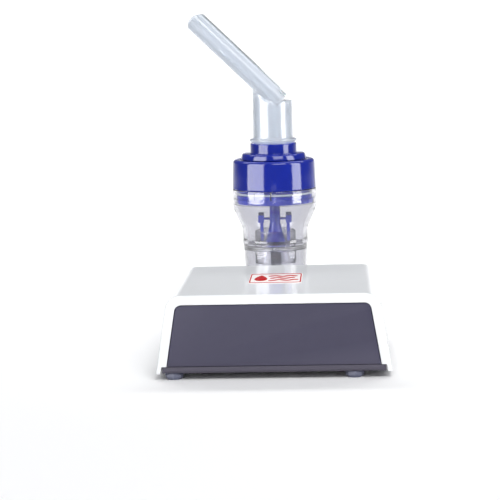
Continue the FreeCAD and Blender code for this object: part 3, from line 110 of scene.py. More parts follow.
def mix(tree, share, first, second):
    """Colour first where share is 0 and second where it is 1; either may be a socket."""
    node = tree.nodes.new("ShaderNodeMix")
    node.data_type = "RGBA"
    tree.links.new(share, node.inputs["Factor"])
    for colour, slot in ((first, node.inputs[6]), (second, node.inputs[7])):
        if isinstance(colour, bpy.types.NodeSocket):
            tree.links.new(colour, slot)
        else:
            slot.default_value = colour
    return node.outputs[2]


def shade(colour, factor):
    return (*(min(1.0, level * factor) for level in colour[:3]), 1.0)


def vary_colour(made, principled, colour, size, amount):
    """Mottles the base colour by amount, with patches of about size."""
    tree = made.node_tree
    patches = noise(tree, size)
    tinted = mix(tree, patches, shade(colour, 1 - amount), shade(colour, 1 + amount))
    tree.links.new(tinted, principled.inputs["Base Color"])


def vary_roughness(made, principled, low, high, size, stretch=(1, 1, 1)):
    tree = made.node_tree
    tree.links.new(spread(tree, noise(tree, size, 4.0, stretch), low, high), principled.inputs["Roughness"])


def add_bump(made, principled, height, size, detail=2.0, stretch=(1, 1, 1), kind="ShaderNodeTexNoise"):
    """A surface relief of that height in metres; calls add up."""
    tree = made.node_tree
    bump = tree.nodes.new("ShaderNodeBump")
    bump.inputs["Distance"].default_value = height
    tree.links.new(noise(tree, size, detail, stretch, kind), bump.inputs["Height"])
    before = principled.inputs["Normal"].links
    if before:
        tree.links.new(before[0].from_socket, bump.inputs["Normal"])
    tree.links.new(bump.outputs["Normal"], principled.inputs["Normal"])


def paint_edge_highlight(made, principled, highlight_colour, amount):
    """Lightens the sharp outer edges, found by pointiness, towards a lighter colour: a painted highlight
    along the edges.
    """
    tree = made.node_tree
    geometry = tree.nodes.new("ShaderNodeNewGeometry")
    ramp = tree.nodes.new("ShaderNodeMapRange")
    ramp.inputs["From Min"].default_value = 0.52
    ramp.inputs["From Max"].default_value = 0.62
    ramp.inputs["To Max"].default_value = amount
    tree.links.new(geometry.outputs["Pointiness"], ramp.inputs["Value"])
    under = principled.inputs["Base Color"].links[0].from_socket
    tree.links.new(mix(tree, ramp.outputs["Result"], under, highlight_colour), principled.inputs["Base Color"])


def white_shell():
    colour = srgb(244, 246, 248)
    made, principled = shader("white_shell", colour, 0.12)
    vary_colour(made, principled, colour, 30 * MM, 0.012)
    vary_roughness(made, principled, 0.09, 0.14, 12 * MM)
    add_bump(made, principled, 0.004 * MM, 0.35 * MM)
    add_bump(made, principled, 0.04 * MM, 24 * MM)
    # painted highlight: sharp edges lightened towards near white
    paint_edge_highlight(made, principled, srgb(250, 250, 250), 0.5)
    return made


def slate_panel():
    colour = srgb(54, 51, 76)
    made, principled = shader("slate_panel", colour, 0.55)
    vary_colour(made, principled, colour, 9 * MM, 0.05)
    vary_roughness(made, principled, 0.48, 0.62, 4 * MM)
    add_bump(made, principled, 0.02 * MM, 0.3 * MM, kind="ShaderNodeTexVoronoi")
    add_bump(made, principled, 0.03 * MM, 6 * MM)
    # painted highlight: sharp edges lightened towards a pale slate
    paint_edge_highlight(made, principled, srgb(116, 113, 132), 0.6)
    return made


def tray_plastic():
    colour = srgb(46, 42, 58)
    made, principled = shader("tray_plastic", colour, 0.45)
    vary_colour(made, principled, colour, 7 * MM, 0.06)
    vary_roughness(made, principled, 0.38, 0.55, 3 * MM)
    add_bump(made, principled, 0.018 * MM, 0.4 * MM)
    # painted highlight: sharp edges lightened towards a pale grey
    paint_edge_highlight(made, principled, srgb(96, 92, 108), 0.5)
    return made


def black_plastic():
    colour = srgb(34, 34, 38)
    made, principled = shader("black_plastic", colour, 0.4)
    vary_colour(made, principled, colour, 3 * MM, 0.12)
    vary_roughness(made, principled, 0.32, 0.5, 2 * MM)
    add_bump(made, principled, 0.02 * MM, 0.25 * MM, kind="ShaderNodeTexVoronoi")
    # painted highlight: sharp edges lightened towards grey
    paint_edge_highlight(made, principled, srgb(90, 90, 94), 0.5)
    return made


def grey_nylon():
    colour = srgb(176, 178, 180)
    made, principled = shader("grey_nylon", colour, 0.5, Subsurface_Weight=0.05)
    vary_colour(made, principled, colour, 3 * MM, 0.05)
    vary_roughness(made, principled, 0.42, 0.6, 1.5 * MM)
    add_bump(made, principled, 0.015 * MM, 0.3 * MM)
    return made


def foot_rubber():
    colour = srgb(96, 99, 120)
    made, principled = shader("foot_rubber", colour, 0.6)
    vary_colour(made, principled, colour, 2 * MM, 0.12)
    vary_roughness(made, principled, 0.5, 0.75, 1.5 * MM)
    add_bump(made, principled, 0.03 * MM, 0.5 * MM)
    # painted highlight: sharp edges lightened towards a pale blue-grey
    paint_edge_highlight(made, principled, srgb(140, 145, 160), 0.5)
    return made


def clear_plastic():
    """The cup's polycarbonate: clear, with faint flow marks from moulding; its grey tint is painted shade
    that darkens what is seen through its walls.
    """
    # painted shade: grey tint that darkens everything seen through the cup
    colour = srgb(217, 217, 222)
    made, principled = shader(
        "clear_plastic", colour, 0.03, IOR=1.56, Transmission_Weight=1.0
    )
    vary_colour(made, principled, colour, 8 * MM, 0.015)
    vary_roughness(made, principled, 0.02, 0.06, 6 * MM)
    add_bump(made, principled, 0.006 * MM, 7 * MM, stretch=(1, 1, 5))
    return made


def frosted_plastic():
    """The mouthpiece's polypropylene: milky, and smooth on the outside."""
    colour = srgb(194, 200, 208)
    made, principled = shader(
        "frosted_plastic", colour, 0.4, IOR=1.49, Transmission_Weight=0.6, Coat_Weight=0.9,
        Coat_Roughness=0.05
    )
    vary_colour(made, principled, colour, 12 * MM, 0.015)
    vary_roughness(made, principled, 0.36, 0.46, 8 * MM)
    add_bump(made, principled, 0.01 * MM, 9 * MM)
    return made


def silicone():
    colour = srgb(226, 230, 232)
    made, principled = shader(
        "silicone", colour, 0.35, IOR=1.42, Transmission_Weight=0.55, Subsurface_Weight=0.2
    )
    vary_colour(made, principled, colour, 3 * MM, 0.04)
    vary_roughness(made, principled, 0.3, 0.45, 2 * MM)
    add_bump(made, principled, 0.01 * MM, 0.6 * MM)
    return made


def blue_plastic():
    colour = srgb(15, 36, 148)
    made, principled = shader("blue_plastic", colour, 0.1, IOR=1.5)
    vary_colour(made, principled, colour, 6 * MM, 0.06)
    vary_roughness(made, principled, 0.07, 0.14, 5 * MM)
    add_bump(made, principled, 0.02 * MM, 7 * MM)
    # painted highlight: sharp edges lightened towards a paler blue
    paint_edge_highlight(made, principled, srgb(70, 80, 190), 0.4)
    return made


def metal(name, colour, roughness, grain, stretch=(1, 1, 1), mottle=0.06):
    made, principled = shader(name, colour, roughness, Metallic=1.0)
    vary_colour(made, principled, colour, 2.5 * MM, mottle)
    vary_roughness(made, principled, roughness * 0.75, roughness * 1.35, 1.2 * MM, stretch)
    add_bump(made, principled, 0.012 * MM, grain, stretch=stretch)
    return made


def board_lacquer():
    """Green solder mask, with lighter tracks under it."""
    colour = srgb(20, 92, 52)
    made, principled = shader("board_lacquer", colour, 0.3, Coat_Weight=0.4)
    tree = made.node_tree
    tracks = spread(tree, noise(tree, 1.6 * MM, 0.0, (1, 6, 1)), -2.0, 3.0)
    tree.links.new(mix(tree, tracks, colour, srgb(46, 132, 76)), principled.inputs["Base Color"])
    vary_roughness(made, principled, 0.25, 0.4, 2 * MM)
    add_bump(made, principled, 0.02 * MM, 1.6 * MM, 0.0, (1, 6, 1))
    return made


def felt():
    colour = srgb(226, 224, 216)
    made, principled = shader("felt", colour, 0.95, Sheen_Weight=0.4, Sheen_Roughness=0.6)
    vary_colour(made, principled, colour, 0.6 * MM, 0.1)
    add_bump(made, principled, 0.15 * MM, 0.25 * MM, 6.0)
    return made


def magnet():
    colour = srgb(58, 58, 62)
    made, principled = shader("magnet", colour, 0.7)
    vary_colour(made, principled, colour, 1.0 * MM, 0.15)
    add_bump(made, principled, 0.04 * MM, 0.3 * MM, 5.0)
    return made


def lead_cover():
    colour = srgb(150, 26, 22)
    made, principled = shader("lead_cover", colour, 0.4)
    vary_colour(made, principled, colour, 2 * MM, 0.08)
    vary_roughness(made, principled, 0.32, 0.5, 1.5 * MM)
    add_bump(made, principled, 0.01 * MM, 0.3 * MM)
    return made


def badge_film():
    colour = srgb(248, 243, 241)
    made, principled = shader("badge_film", colour, 0.6, Specular_IOR_Level=0.2)
    vary_colour(made, principled, colour, 6 * MM, 0.015)
    vary_roughness(made, principled, 0.55, 0.66, 3 * MM)
    add_bump(made, principled, 0.01 * MM, 0.5 * MM)
    return made


def badge_ink():
    colour = srgb(186, 6, 14)
    made, principled = shader("badge_ink", colour, 0.65, Specular_IOR_Level=0.1)
    vary_colour(made, principled, colour, 1.5 * MM, 0.07)
    vary_roughness(made, principled, 0.6, 0.75, 1.0 * MM)
    add_bump(made, principled, 0.006 * MM, 0.15 * MM)
    return made


MATERIALS = {
    "white_shell": white_shell(),
    "slate_panel": slate_panel(),
    "tray": tray_plastic(),
    "foot_rubber": foot_rubber(),
    "badge": badge_film(),
    "badge_ink": badge_ink(),
    "black_plastic": black_plastic(),
    "clear_plastic": clear_plastic(),
    "blue_plastic": blue_plastic(),
    "frosted_plastic": frosted_plastic(),
    "silicone": silicone(),
    "felt": felt(),
    "zinc_steel": metal("zinc_steel", srgb(196, 198, 200), 0.3, 0.4 * MM),
    "laminated_steel": metal("laminated_steel", srgb(120, 120, 124), 0.45, 0.35 * MM, (0.05, 1, 1)),
    "magnet": magnet(),
    "bronze": metal("bronze", srgb(186, 140, 84), 0.4, 0.3 * MM, mottle=0.12),
    "cast_aluminium": metal("cast_aluminium", srgb(192, 194, 198), 0.45, 0.6 * MM),
    "grey_nylon": grey_nylon(),
    "board": board_lacquer(),
    "lead_cover": lead_cover(),
}


SOFT_EDGES = {
    "base_tray": 0.35, "rear_panel": 0.3, "nebulizer_dock": 0.4, "switch_frame": 0.25, "power_rocker": 0.3,
    "filter_cap": 0.3, "air_outlet": 0.2, "power_inlet": 0.2, "baffle_insert": 0.2, "housing_screws": 0.15,
    "dock_screws": 0.15, "pump_frame": 0.25, "cylinder_head": 0.3, "motor_can": 0.3, "motor_end_bell": 0.3,
    "capacitors": 0.3, "board_connectors": 0.2, "cooling_fan": 0.1, "piston_rod": 0.2, "rubber_mounts": 0.2,
    "filter_pot": 0.2,
}


def finish_cad_nodes():
    """Gives each CAD node the material of its slot in the record, and takes off its moulded edges."""
    for entry in frame["record"]["subparts"]:
        node = NODES[entry["node"]]
        node.data.materials.clear()
        node.data.materials.append(MATERIALS[entry["material_slot"]])
        if entry["node"] in SOFT_EDGES:
            bevel = node.modifiers.new("soft_edges", "BEVEL")
            bevel.width = SOFT_EDGES[entry["node"]] * MM
            bevel.segments = 3
            bevel.limit_method = "ANGLE"
            bevel.angle_limit = math.radians(40)
            bevel.harden_normals = True


# ---------------------------------------------------------------- shapes

def join_rings(work, near, far):
    """Quads between two closed rings with the same number of points."""
    faces = []
    for i in range(len(near)):
        j = (i + 1) % len(near)
        faces.append(work.faces.new((near[i], near[j], far[j], far[i])))
    return faces


def filleted(corners, closed):
    """Points along a path whose corners are (across, up) or (across, up, radius) in millimetres."""
    points = []
    count = len(corners)
    for i, corner in enumerate(corners):
        here = Vector(corner[:2])
        radius = corner[2] if len(corner) > 2 else 0
        at_end = not closed and i in (0, count - 1)
        if at_end or not radius:
            points.append(here)
            continue
        back = Vector(corners[i - 1][:2]) - here
        ahead = Vector(corners[(i + 1) % count][:2]) - here
        half_turn = (math.pi - back.angle(ahead)) / 2
        reach = min(radius * math.tan(half_turn), 0.48 * back.length, 0.48 * ahead.length)
        radius = reach / math.tan(half_turn)
        inward = (back.normalized() + ahead.normalized()).normalized()
        middle = here + inward * radius / math.cos(half_turn)
        first = here + back.normalized() * reach - middle
        turn = first.angle_signed(here + ahead.normalized() * reach - middle)
        steps = max(3, math.ceil(abs(turn) / math.radians(11)))
        for step in range(steps + 1):
            part = -turn * step / steps
            points.append(middle + Vector((
                first.x * math.cos(part) - first.y * math.sin(part),
                first.x * math.sin(part) + first.y * math.cos(part),
            )))
    return points


def finish_mesh(name, work, material, place=(0, 0, 0), sharp=35):
    """Turns a bmesh in millimetres into a smooth-shaded object in metres."""
    bmesh.ops.recalc_face_normals(work, faces=work.faces)
    bmesh.ops.scale(work, vec=(MM, MM, MM), verts=work.verts)
    for face in work.faces:
        face.smooth = True
    mesh = bpy.data.meshes.new(name)
    work.to_mesh(mesh)
    work.free()
    mesh.set_sharp_from_angle(angle=math.radians(sharp))
    mesh.materials.append(MATERIALS[material])
    made = bpy.data.objects.new(name, mesh)
    made.location = place
    bpy.context.scene.collection.objects.link(made)
    return made


def assign(piece, body, slot, *nodes):
    """Rides the piece on its body and lets it stand for those CAD nodes, which it hides; slot is not used.
    """
    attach(piece, body)
    if nodes:
        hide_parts(*nodes)
    return piece


def turned(name, corners, material, place, closed=True, segments=160, shape=None):
    """A solid of revolution; shape(turn, radius, height) may move a point to another radius."""
    points = filleted(corners, closed)
    work = bmesh.new()
    rings = []
    for point in points:
        if point.x < 1e-6:
            rings.append([work.verts.new((0, 0, point.y))])
            continue
        ring = []
        for i in range(segments):
            turn = 2 * math.pi * i / segments
            radius = shape(math.degrees(turn), point.x, point.y) if shape else point.x
            ring.append(work.verts.new((radius * math.cos(turn), radius * math.sin(turn), point.y)))
        rings.append(ring)
    pairs = list(zip(rings, rings[1:]))
    if closed:
        pairs.append((rings[-1], rings[0]))
    for low, high in pairs:
        for i in range(segments):
            following = (i + 1) % segments
            corners_of_face = [
                low[i % len(low)], low[following % len(low)], high[following % len(high)],
                high[i % len(high)],
            ]
            kept = list(dict.fromkeys(corners_of_face))
            if len(kept) > 2:
                work.faces.new(kept)
    return finish_mesh(name, work, material, place)


def near_turn(turn, middle, half_width):
    """Whether a turn in degrees lies within half_width of the middle one."""
    return abs((turn - middle + 180) % 360 - 180) <= half_width


# ---------------------------------------------------------------- housing

BODY_HALF = 60.0
LEAN = math.radians(9.5)
HOUSING_BOTTOM = 3.5
HOUSING_TOP = 43.5
ABOVE_TRAY = 7.1
CORNER = 8.5
SHELL_WALL = 2.2
RIM_WIDTH = 4.8
RIM_LENGTH = 3.2
DEPTH = 100.0


def arch_outline(inset, bottom):
    """The housing's outline, drawn in by inset, from its bottom left over the top to its bottom right."""
    top = HOUSING_TOP - inset

    def half(height):
        return BODY_HALF - inset / math.cos(LEAN) - (height - HOUSING_BOTTOM) * math.tan(LEAN)

    radius = max(CORNER - inset, 0.6)
    turn = math.pi / 2 - LEAN
    reach = radius * math.tan(turn / 2)
    start = Vector((-half(top) - reach * math.sin(LEAN), top - reach * math.cos(LEAN)))
    foot = Vector((-half(bottom), bottom))
    left = [foot.lerp(start, i / 8) for i in range(8)]
    middle = Vector((-half(top) + reach, top - radius))
    for i in range(13):
        angle = math.pi - LEAN - turn * i / 12
        left.append(middle + radius * Vector((math.cos(angle), math.sin(angle))))
    centre = [Vector((left[-1].x * (1 - i / 6), top)) for i in range(1, 6)]
    left += centre
    return left + [Vector((0, top))] + [Vector((-point.x, point.y)) for point in reversed(left)]


def lofted(name, path, material, place, bottom_of, loop):
    """A skin over arch outlines at the (inset, y) places of a path, with its open ends filled."""
    work = bmesh.new()
    rings = [
        [work.verts.new((point.x, y, point.y)) for point in arch_outline(inset, bottom_of(inset))]
        for inset, y in path
    ]
    pairs = list(zip(rings, rings[1:]))
    if loop:
        pairs.append((rings[-1], rings[0]))
    for near, far in pairs:
        for i in range(len(near) - 1):
            work.faces.new((near[i], near[i + 1], far[i + 1], far[i]))
    if loop:
        for end in (0, -1):
            work.faces.new([ring[end] for ring in rings])
    else:
        for near, far in pairs:
            work.faces.new((near[0], near[-1], far[-1], far[0]))
        work.faces.new(rings[0])
        work.faces.new(rings[-1])
    bmesh.ops.triangulate(work, faces=[face for face in work.faces if len(face.verts) > 4])
    return finish_mesh(name, work, material, place)


def rounded_corner(inset, y, radius, start, end):
    """Path points on an arc about (inset, y), from start to end in degrees."""
    return [
        (inset + radius * math.cos(math.radians(turn)), y + radius * math.sin(math.radians(turn)))
        for turn in (start + (end - start) * i / 5 for i in range(6))
    ]


def add_shell():
    """The white top shell: outer skin, rounded rims at both ends, and the wall inside."""
    edge, inner_edge, step = 0.9, 0.35, 0.05
    front = rounded_corner(edge, edge, edge, 180, 270)
    face = [(SHELL_WALL, 0), (SHELL_WALL + step, 0)]
    face += rounded_corner(RIM_WIDTH - inner_edge, inner_edge, inner_edge, 270, 360)
    inside = [
        (RIM_WIDTH, RIM_LENGTH), (SHELL_WALL + step, RIM_LENGTH), (SHELL_WALL, RIM_LENGTH),
        (SHELL_WALL, DEPTH / 2),
    ]
    outside = [(0, DEPTH / 2), (0, edge + 3), (0, edge + 0.4)]
    half_path = outside + front + face + inside
    far_half = [(inset, DEPTH - y) for inset, y in reversed(half_path[1:-1])]
    path = half_path + far_half
    piece = lofted(
        "shell", path, "white_shell", (0, SHELL_LOW.y, 0),
        lambda inset: HOUSING_BOTTOM if inset <= SHELL_WALL + 0.01 else ABOVE_TRAY, loop=True,
    )
    assign(piece, "housing", "white_shell", "top_shell")


def add_front_panel():
    """The plain front panel: its face is softly rounded into the gap beside the rim."""
    recess, edge, gap = 0.8, 0.6, 0.2
    border = RIM_WIDTH + gap
    path = [(border + edge, recess)]
    path += reversed(rounded_corner(border + edge, recess + edge, edge, 180, 270)[:-1])
    path += [
        (border, RIM_LENGTH + gap), (SHELL_WALL + gap, RIM_LENGTH + gap),
        (SHELL_WALL + gap, RIM_LENGTH + gap + 1.5),
    ]
    piece = lofted(
        "front_plate", path, "slate_panel", (0, SHELL_LOW.y, 0), lambda inset: ABOVE_TRAY, loop=False
    )
    assign(piece, "housing", "slate_panel", "front_panel")


def add_feet():
    """Rubber feet with eight soft facets and a dished sole."""
    def faceted(turn, radius, _height):
        if radius < 2.5:
            return radius
        off = math.radians((turn % 45) - 22.5)
        return radius * (0.25 + 0.75 * math.cos(math.radians(22.5)) / math.cos(off))

    for node in ("foot_front_left", "foot_front_right", "foot_rear_left", "foot_rear_right"):
        low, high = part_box(node)
        centre = (low + high) / 2
        sole = [(0, 0.5), (2.4, 0.45, 0.3), (2.9, 0.0, 0.25), (3.6, 0.0, 0.5)]
        side = [(4.75, 1.3, 0.8), (4.75, 2.5, 0.5), (4.1, 3.5, 0.2)]
        stud = [(1.95, 3.5), (1.95, 5.9), (2.5, 5.95, 0.2), (1.3, 7.3, 0.2), (0, 7.3)]
        corners = sole + side + stud
        foot = turned(f"{node}_rubber", corners, "foot_rubber", (centre.x, centre.y, 0), closed=False,
                      segments=96, shape=faceted)
        assign(foot, "housing", "foot_rubber", node)


def plate_outline(half_x, half_y, corner):
    """A rounded rectangle about the origin, as points."""
    points = []
    steps = 8
    for quarter, (sx, sy) in enumerate(((1, 1), (-1, 1), (-1, -1), (1, -1))):
        for i in range(steps + 1):
            turn = math.pi / 2 * (quarter + i / steps)
            points.append(Vector((
                sx * (half_x - corner) + corner * math.cos(turn),
                sy * (half_y - corner) + corner * math.sin(turn),
            )))
    return points


def raised(name, outlines, low, high, material, place, soft=0.06):
    """Flat shapes raised from low to high, in one piece; each is an outer outline and maybe a hole."""
    work = bmesh.new()
    for outer, hole in outlines:
        levels = []
        for points, away in ((outer, -soft), (hole, soft)) if hole else ((outer, -soft),):
            centre = sum(points, Vector((0, 0))) / len(points)
            rows = []
            for shift, z in ((0, low), (0, high - soft), (away, high)):
                spots = [point + (point - centre).normalized() * shift for point in points]
                rows.append([work.verts.new((*spot, z)) for spot in spots])
            levels.append(rows)
            for under, over in zip(rows, rows[1:]):
                join_rings(work, under, over)
        if hole:
            for row in (0, -1):
                join_rings(work, levels[0][row], levels[1][row])
        else:
            work.faces.new(levels[0][0])
            work.faces.new(levels[0][-1])
    return finish_mesh(name, work, material, place, sharp=50)


def ribbon(points, half):
    """The outline of a band of that half width along points, with round ends."""
    left, right = [], []
    for i, point in enumerate(points):
        run = (points[min(i + 1, len(points) - 1)] - points[max(i - 1, 0)]).normalized()
        side = Vector((-run.y, run.x)) * half
        left.append(point + side)
        right.append(point - side)
    caps = []
    for end, before in ((points[-1], points[-2]), (points[0], points[1])):
        run = (end - before).normalized()
        caps.append([
            end + half * (run * math.cos(turn) + Vector((-run.y, run.x)) * math.sin(turn))
            for turn in (math.radians(60 - 30 * i) for i in range(5))
        ])
    return left + caps[0] + list(reversed(right)) + caps[1]


def add_badge():
    """A plain enamel badge: a bordered plate with a droplet and three bands of drifting mist."""
    low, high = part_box("label_badge")
    centre = (low + high) / 2
    half_x, half_y = (high.x - low.x) / 2 / MM, (high.y - low.y) / 2 / MM
    plate_top, ink_top, ink_bottom = 0.2, 0.28, 0.19
    drop_x, drop_y, drop_half, drop_reach, drop_steps = -7.8, -0.8, 3.9, 8.2, 40
    band_pitch, band_half, wave_height, wave_steps = 6.8, 1.35, 1.2, 28
    place = (centre.x, centre.y, low.z)
    plate_shape = (plate_outline(half_x, half_y, 2.2), None)
    plate = raised("badge_plate", [plate_shape], 0, plate_top, "badge", place)
    assign(plate, "housing", "badge", "label_badge")
    border = (
        plate_outline(half_x - 0.35, half_y - 0.8, 1.9),
        plate_outline(half_x - 1.0, half_y - 2.4, 1.4),
    )
    drop = []
    for i in range(drop_steps):
        turn = 2 * math.pi * i / drop_steps
        narrowing = (1 + math.cos(turn)) / 2
        drop.append(Vector((
            drop_x + drop_half * math.sin(turn) * (1 - 0.65 * narrowing ** 2),
            drop_y + drop_reach * (math.cos(turn) + 0.25 * narrowing ** 3),
        )))
    bands = []
    for row, (start, end) in enumerate(((-2.4, 11.0), (-1.8, 9.0), (-2.8, 10.2))):
        wave = [
            Vector((x, band_pitch * (row - 1) + wave_height * math.sin(0.75 * x + row)))
            for x in (start + (end - start) * i / wave_steps for i in range(wave_steps + 1))
        ]
        bands.append((ribbon(wave, band_half), None))
    print_shapes = [border, (drop, None)] + bands
    ink = raised("badge_print", print_shapes, ink_bottom, ink_top, "badge_ink", place, soft=0.03)
    assign(ink, "housing", "badge")


# ---------------------------------------------------------------- nebulizer

LUG_TURNS = (220, 340, 100)
LOCK_TURN = 35
RIB_TURN = 271.5
CUP_RIB_HALF = 1.9
LID_RIB_HALF = 1.5
MOUTH_ANGLE = math.radians(44.4)
ELBOW = Vector((AXIS.x - 11.1 * MM, AXIS.y, 141.5 * MM))


def add_cup():
    """The clear cup, with its bead, bayonet track, medicine well, jet and hose barb."""
    wall, track = 21.65, 22.45
    slot_half = math.degrees(4.75 / track)

    def shape(turn, radius, height):
        in_slot = any(near_turn(turn, lug + LOCK_TURN, slot_half) for lug in LUG_TURNS)
        if in_slot and height > 79 and abs(radius - wall) < 0.4:
            return track
        if near_turn(turn, RIB_TURN, CUP_RIB_HALF) and 78.4 < height < 83.6 and radius > 23.4:
            return radius + 0.9
        return radius

    corners = [
        (16.75, 28.8, 0.4), (17.95, 52.7, 0.6), (18.5, 54.2, 0.35), (18.5, 55.3, 0.35), (18.3, 56.4, 0.5),
        (18.4, 62.5, 7), (23.55, 73.9, 14), (23.55, 78.3), (23.55, 78.7), (23.6, 83.3), (23.6, 83.7),
        (23.6, 84.8, 0.3),
        (wall, 84.8, 0.3), (wall, 79.8, 0.1), (track, 79.8, 0.15), (track, 76.6, 0.15), (wall, 76.6, 0.2),
        (wall, 74.3, 12), (16.4, 62.9, 7), (16.05, 52.7, 1.2),
        (11.5, 52.7, 0.5), (11.5, 61.2, 0.3), (10.3, 61.2, 0.3), (10.3, 52.7, 1.0),
        (4.2, 52.7, 0.8), (1.5, 61.5, 0.25), (0.4, 61.5, 0.1), (0.4, 60.3), (1.3, 59.0, 0.3),
        (1.3, 18, 0.2), (2.4, 18, 0.2), (3.3, 22, 0.15), (2.7, 22, 0.1), (3.0, 51.2, 0.5),
        (10.3, 51.2, 0.4), (10.3, 43, 0.3), (11.5, 43, 0.3), (11.5, 51.2, 0.5),
        (16.25, 51.2, 0.8), (15.05, 28.8, 0.4),
    ]
    cup = turned("medicine_cup", corners, "clear_plastic", (AXIS.x, AXIS.y, 0), segments=192, shape=shape)
    cup.visible_shadow = False
    assign(cup, "nebulizer", "clear_plastic", "nebulizer_cup")


def add_lid():
    """The blue screw lid, with three bayonet lugs on its skirt and an index rib on its side."""
    skirt, lug = 21.3, 22.1
    lug_half = math.degrees(4 / lug)

    def shape(turn, radius, height):
        on_lug = any(near_turn(turn, middle, lug_half) for middle in LUG_TURNS)
        if on_lug and 77.05 < height < 79.55 and abs(radius - skirt) < 0.05:
            return lug
        if near_turn(turn, RIB_TURN, LID_RIB_HALF) and 86.2 < height < 91.5 and radius > 23:
            return radius + 0.35
        return radius

    corners = [
        (23.6, 85.1, 0.8), (23.5, 86.1), (23.47, 86.6), (23.3, 91.3), (23.28, 91.8), (22.9, 101.3, 1.9),
        (18.9, 101.3, 0.3), (18.9, 101.0, 0.2), (14, 101.0, 0.2),
        (14, 99.3, 0.2), (19.7, 99.3, 1.0), (19.7, 76.9, 0.3), (skirt, 76.9), (skirt, 77.0), (skirt, 77.1),
        (skirt, 79.5), (skirt, 79.6), (skirt, 81.7, 0.1), (20.5, 81.7, 0.1), (20.5, 83.3, 0.1),
        (skirt, 83.3, 0.1), (skirt, 85.1, 0.15),
    ]
    lid = turned("screw_lid", corners, "blue_plastic", (AXIS.x, AXIS.y, 0), segments=192, shape=shape)
    assign(lid, "lid", "blue_plastic", "nebulizer_lid")


def add_collar():
    """The stepped collar that the mouthpiece plugs into."""
    corners = [
        (11.05, 110.3, 0.3), (13, 110.3, 0.5), (13, 104.7, 0.5), (17.5, 104.7, 1.3), (18.6, 101.35, 0.4),
        (13.9, 101.35, 0.1), (13.9, 95, 0.3), (9.75, 95, 0.3), (9.75, 96.6, 0.2), (11.05, 96.6, 0.1),
    ]
    collar = turned("stepped_collar", corners, "blue_plastic", (AXIS.x, AXIS.y, 0))
    assign(collar, "lid", "blue_plastic", "outlet_collar")


def softened(name, node, voxel, rounds, material, add_details):
    """A copy of a CAD node's solid with details added, remeshed evenly so that its edges round off."""
    work = bmesh.new()
    work.from_mesh(NODES[node].data)
    add_details(work)
    mesh = bpy.data.meshes.new(name)
    work.to_mesh(mesh)
    work.free()
    made = bpy.data.objects.new(name, mesh)
    bpy.context.scene.collection.objects.link(made)
    remesh = made.modifiers.new("even", "REMESH")
    remesh.mode = "VOXEL"
    remesh.voxel_size = voxel
    smooth = made.modifiers.new("soft", "SMOOTH")
    smooth.factor = 0.5
    smooth.iterations = rounds
    graph = bpy.context.evaluated_depsgraph_get()
    made.data = bpy.data.meshes.new_from_object(made.evaluated_get(graph))
    made.modifiers.clear()
    made.data.name = name
    for polygon in made.data.polygons:
        polygon.use_smooth = True
    made.data.materials.clear()
    made.data.materials.append(MATERIALS[material])
    return made


def at_lips(along, across, side):
    """A place on the lips' tube, in millimetres along it from the elbow, up across it, and sideways."""
    cosine, sine = math.cos(MOUTH_ANGLE), math.sin(MOUTH_ANGLE)
    return ELBOW + MM * Vector((across * sine - along * cosine, side, across * cosine + along * sine))


def add_rails(work):
    """A rail along each side of the lips' tube, a third of the way up it, that fades out at its end."""
    across, reach, full, count = 3.7, 11.0, 0.9, 12
    for side in (-1, 1):
        rings = []
        for along, radius in ((-16.0, full), (24.0, full), (27.0, 0.6), (29.0, 0.2)):
            middle = reach - (full - radius)
            rings.append([
                work.verts.new(at_lips(
                    along, across + radius * math.cos(turn), side * (middle + radius * math.sin(turn))
                ))
                for turn in (2 * math.pi * i / count for i in range(count))
            ])
        faces = [work.faces.new(rings[0]), work.faces.new(rings[-1])]
        for near, far in zip(rings, rings[1:]):
            faces += join_rings(work, near, far)
        bmesh.ops.recalc_face_normals(work, faces=faces)


def add_mouthpiece():
    """The frosted mouthpiece: an upright tube, and a flat one slanting from it to the lips."""
    piece = softened("lips_tube", "mouthpiece", 0.45 * MM, 5, "frosted_plastic", add_rails)
    piece.visible_shadow = False
    assign(piece, "mouthpiece", "frosted_plastic", "mouthpiece")


# ---------------------------------------------------------------- stage, lights and camera

FOCAL_MM = 129.5
CAMERA_DISTANCE = 0.9518
CAMERA_AZIMUTH = math.radians(3.06)
CAMERA_ELEVATION = math.radians(7.98)
CAMERA_ROLL = math.radians(1.44)
TARGET = BODY_CENTRE + Vector((-13.2 * MM, 0, 0))
TARGET.z = 59.3 * MM


def add_camera():
    sight = Vector((
        -math.sin(CAMERA_AZIMUTH) * math.cos(CAMERA_ELEVATION),
        math.cos(CAMERA_AZIMUTH) * math.cos(CAMERA_ELEVATION),
        -math.sin(CAMERA_ELEVATION),
    ))
    level = Vector((math.cos(CAMERA_AZIMUTH), math.sin(CAMERA_AZIMUTH), 0))
    upward = level.cross(sight)
    right = level * math.cos(CAMERA_ROLL) - upward * math.sin(CAMERA_ROLL)
    above = level * math.sin(CAMERA_ROLL) + upward * math.cos(CAMERA_ROLL)
    data = bpy.data.cameras.new("camera")
    data.lens = FOCAL_MM
    data.clip_start = 0.05
    camera = bpy.data.objects.new("camera", data)
    camera.matrix_world = Matrix((
        (right.x, above.x, -sight.x, 0), (right.y, above.y, -sight.y, 0), (right.z, above.z, -sight.z, 0),
        (0, 0, 0, 1),
    ))
    camera.location = TARGET - sight * CAMERA_DISTANCE
    bpy.context.scene.collection.objects.link(camera)
    bpy.context.scene.camera = camera


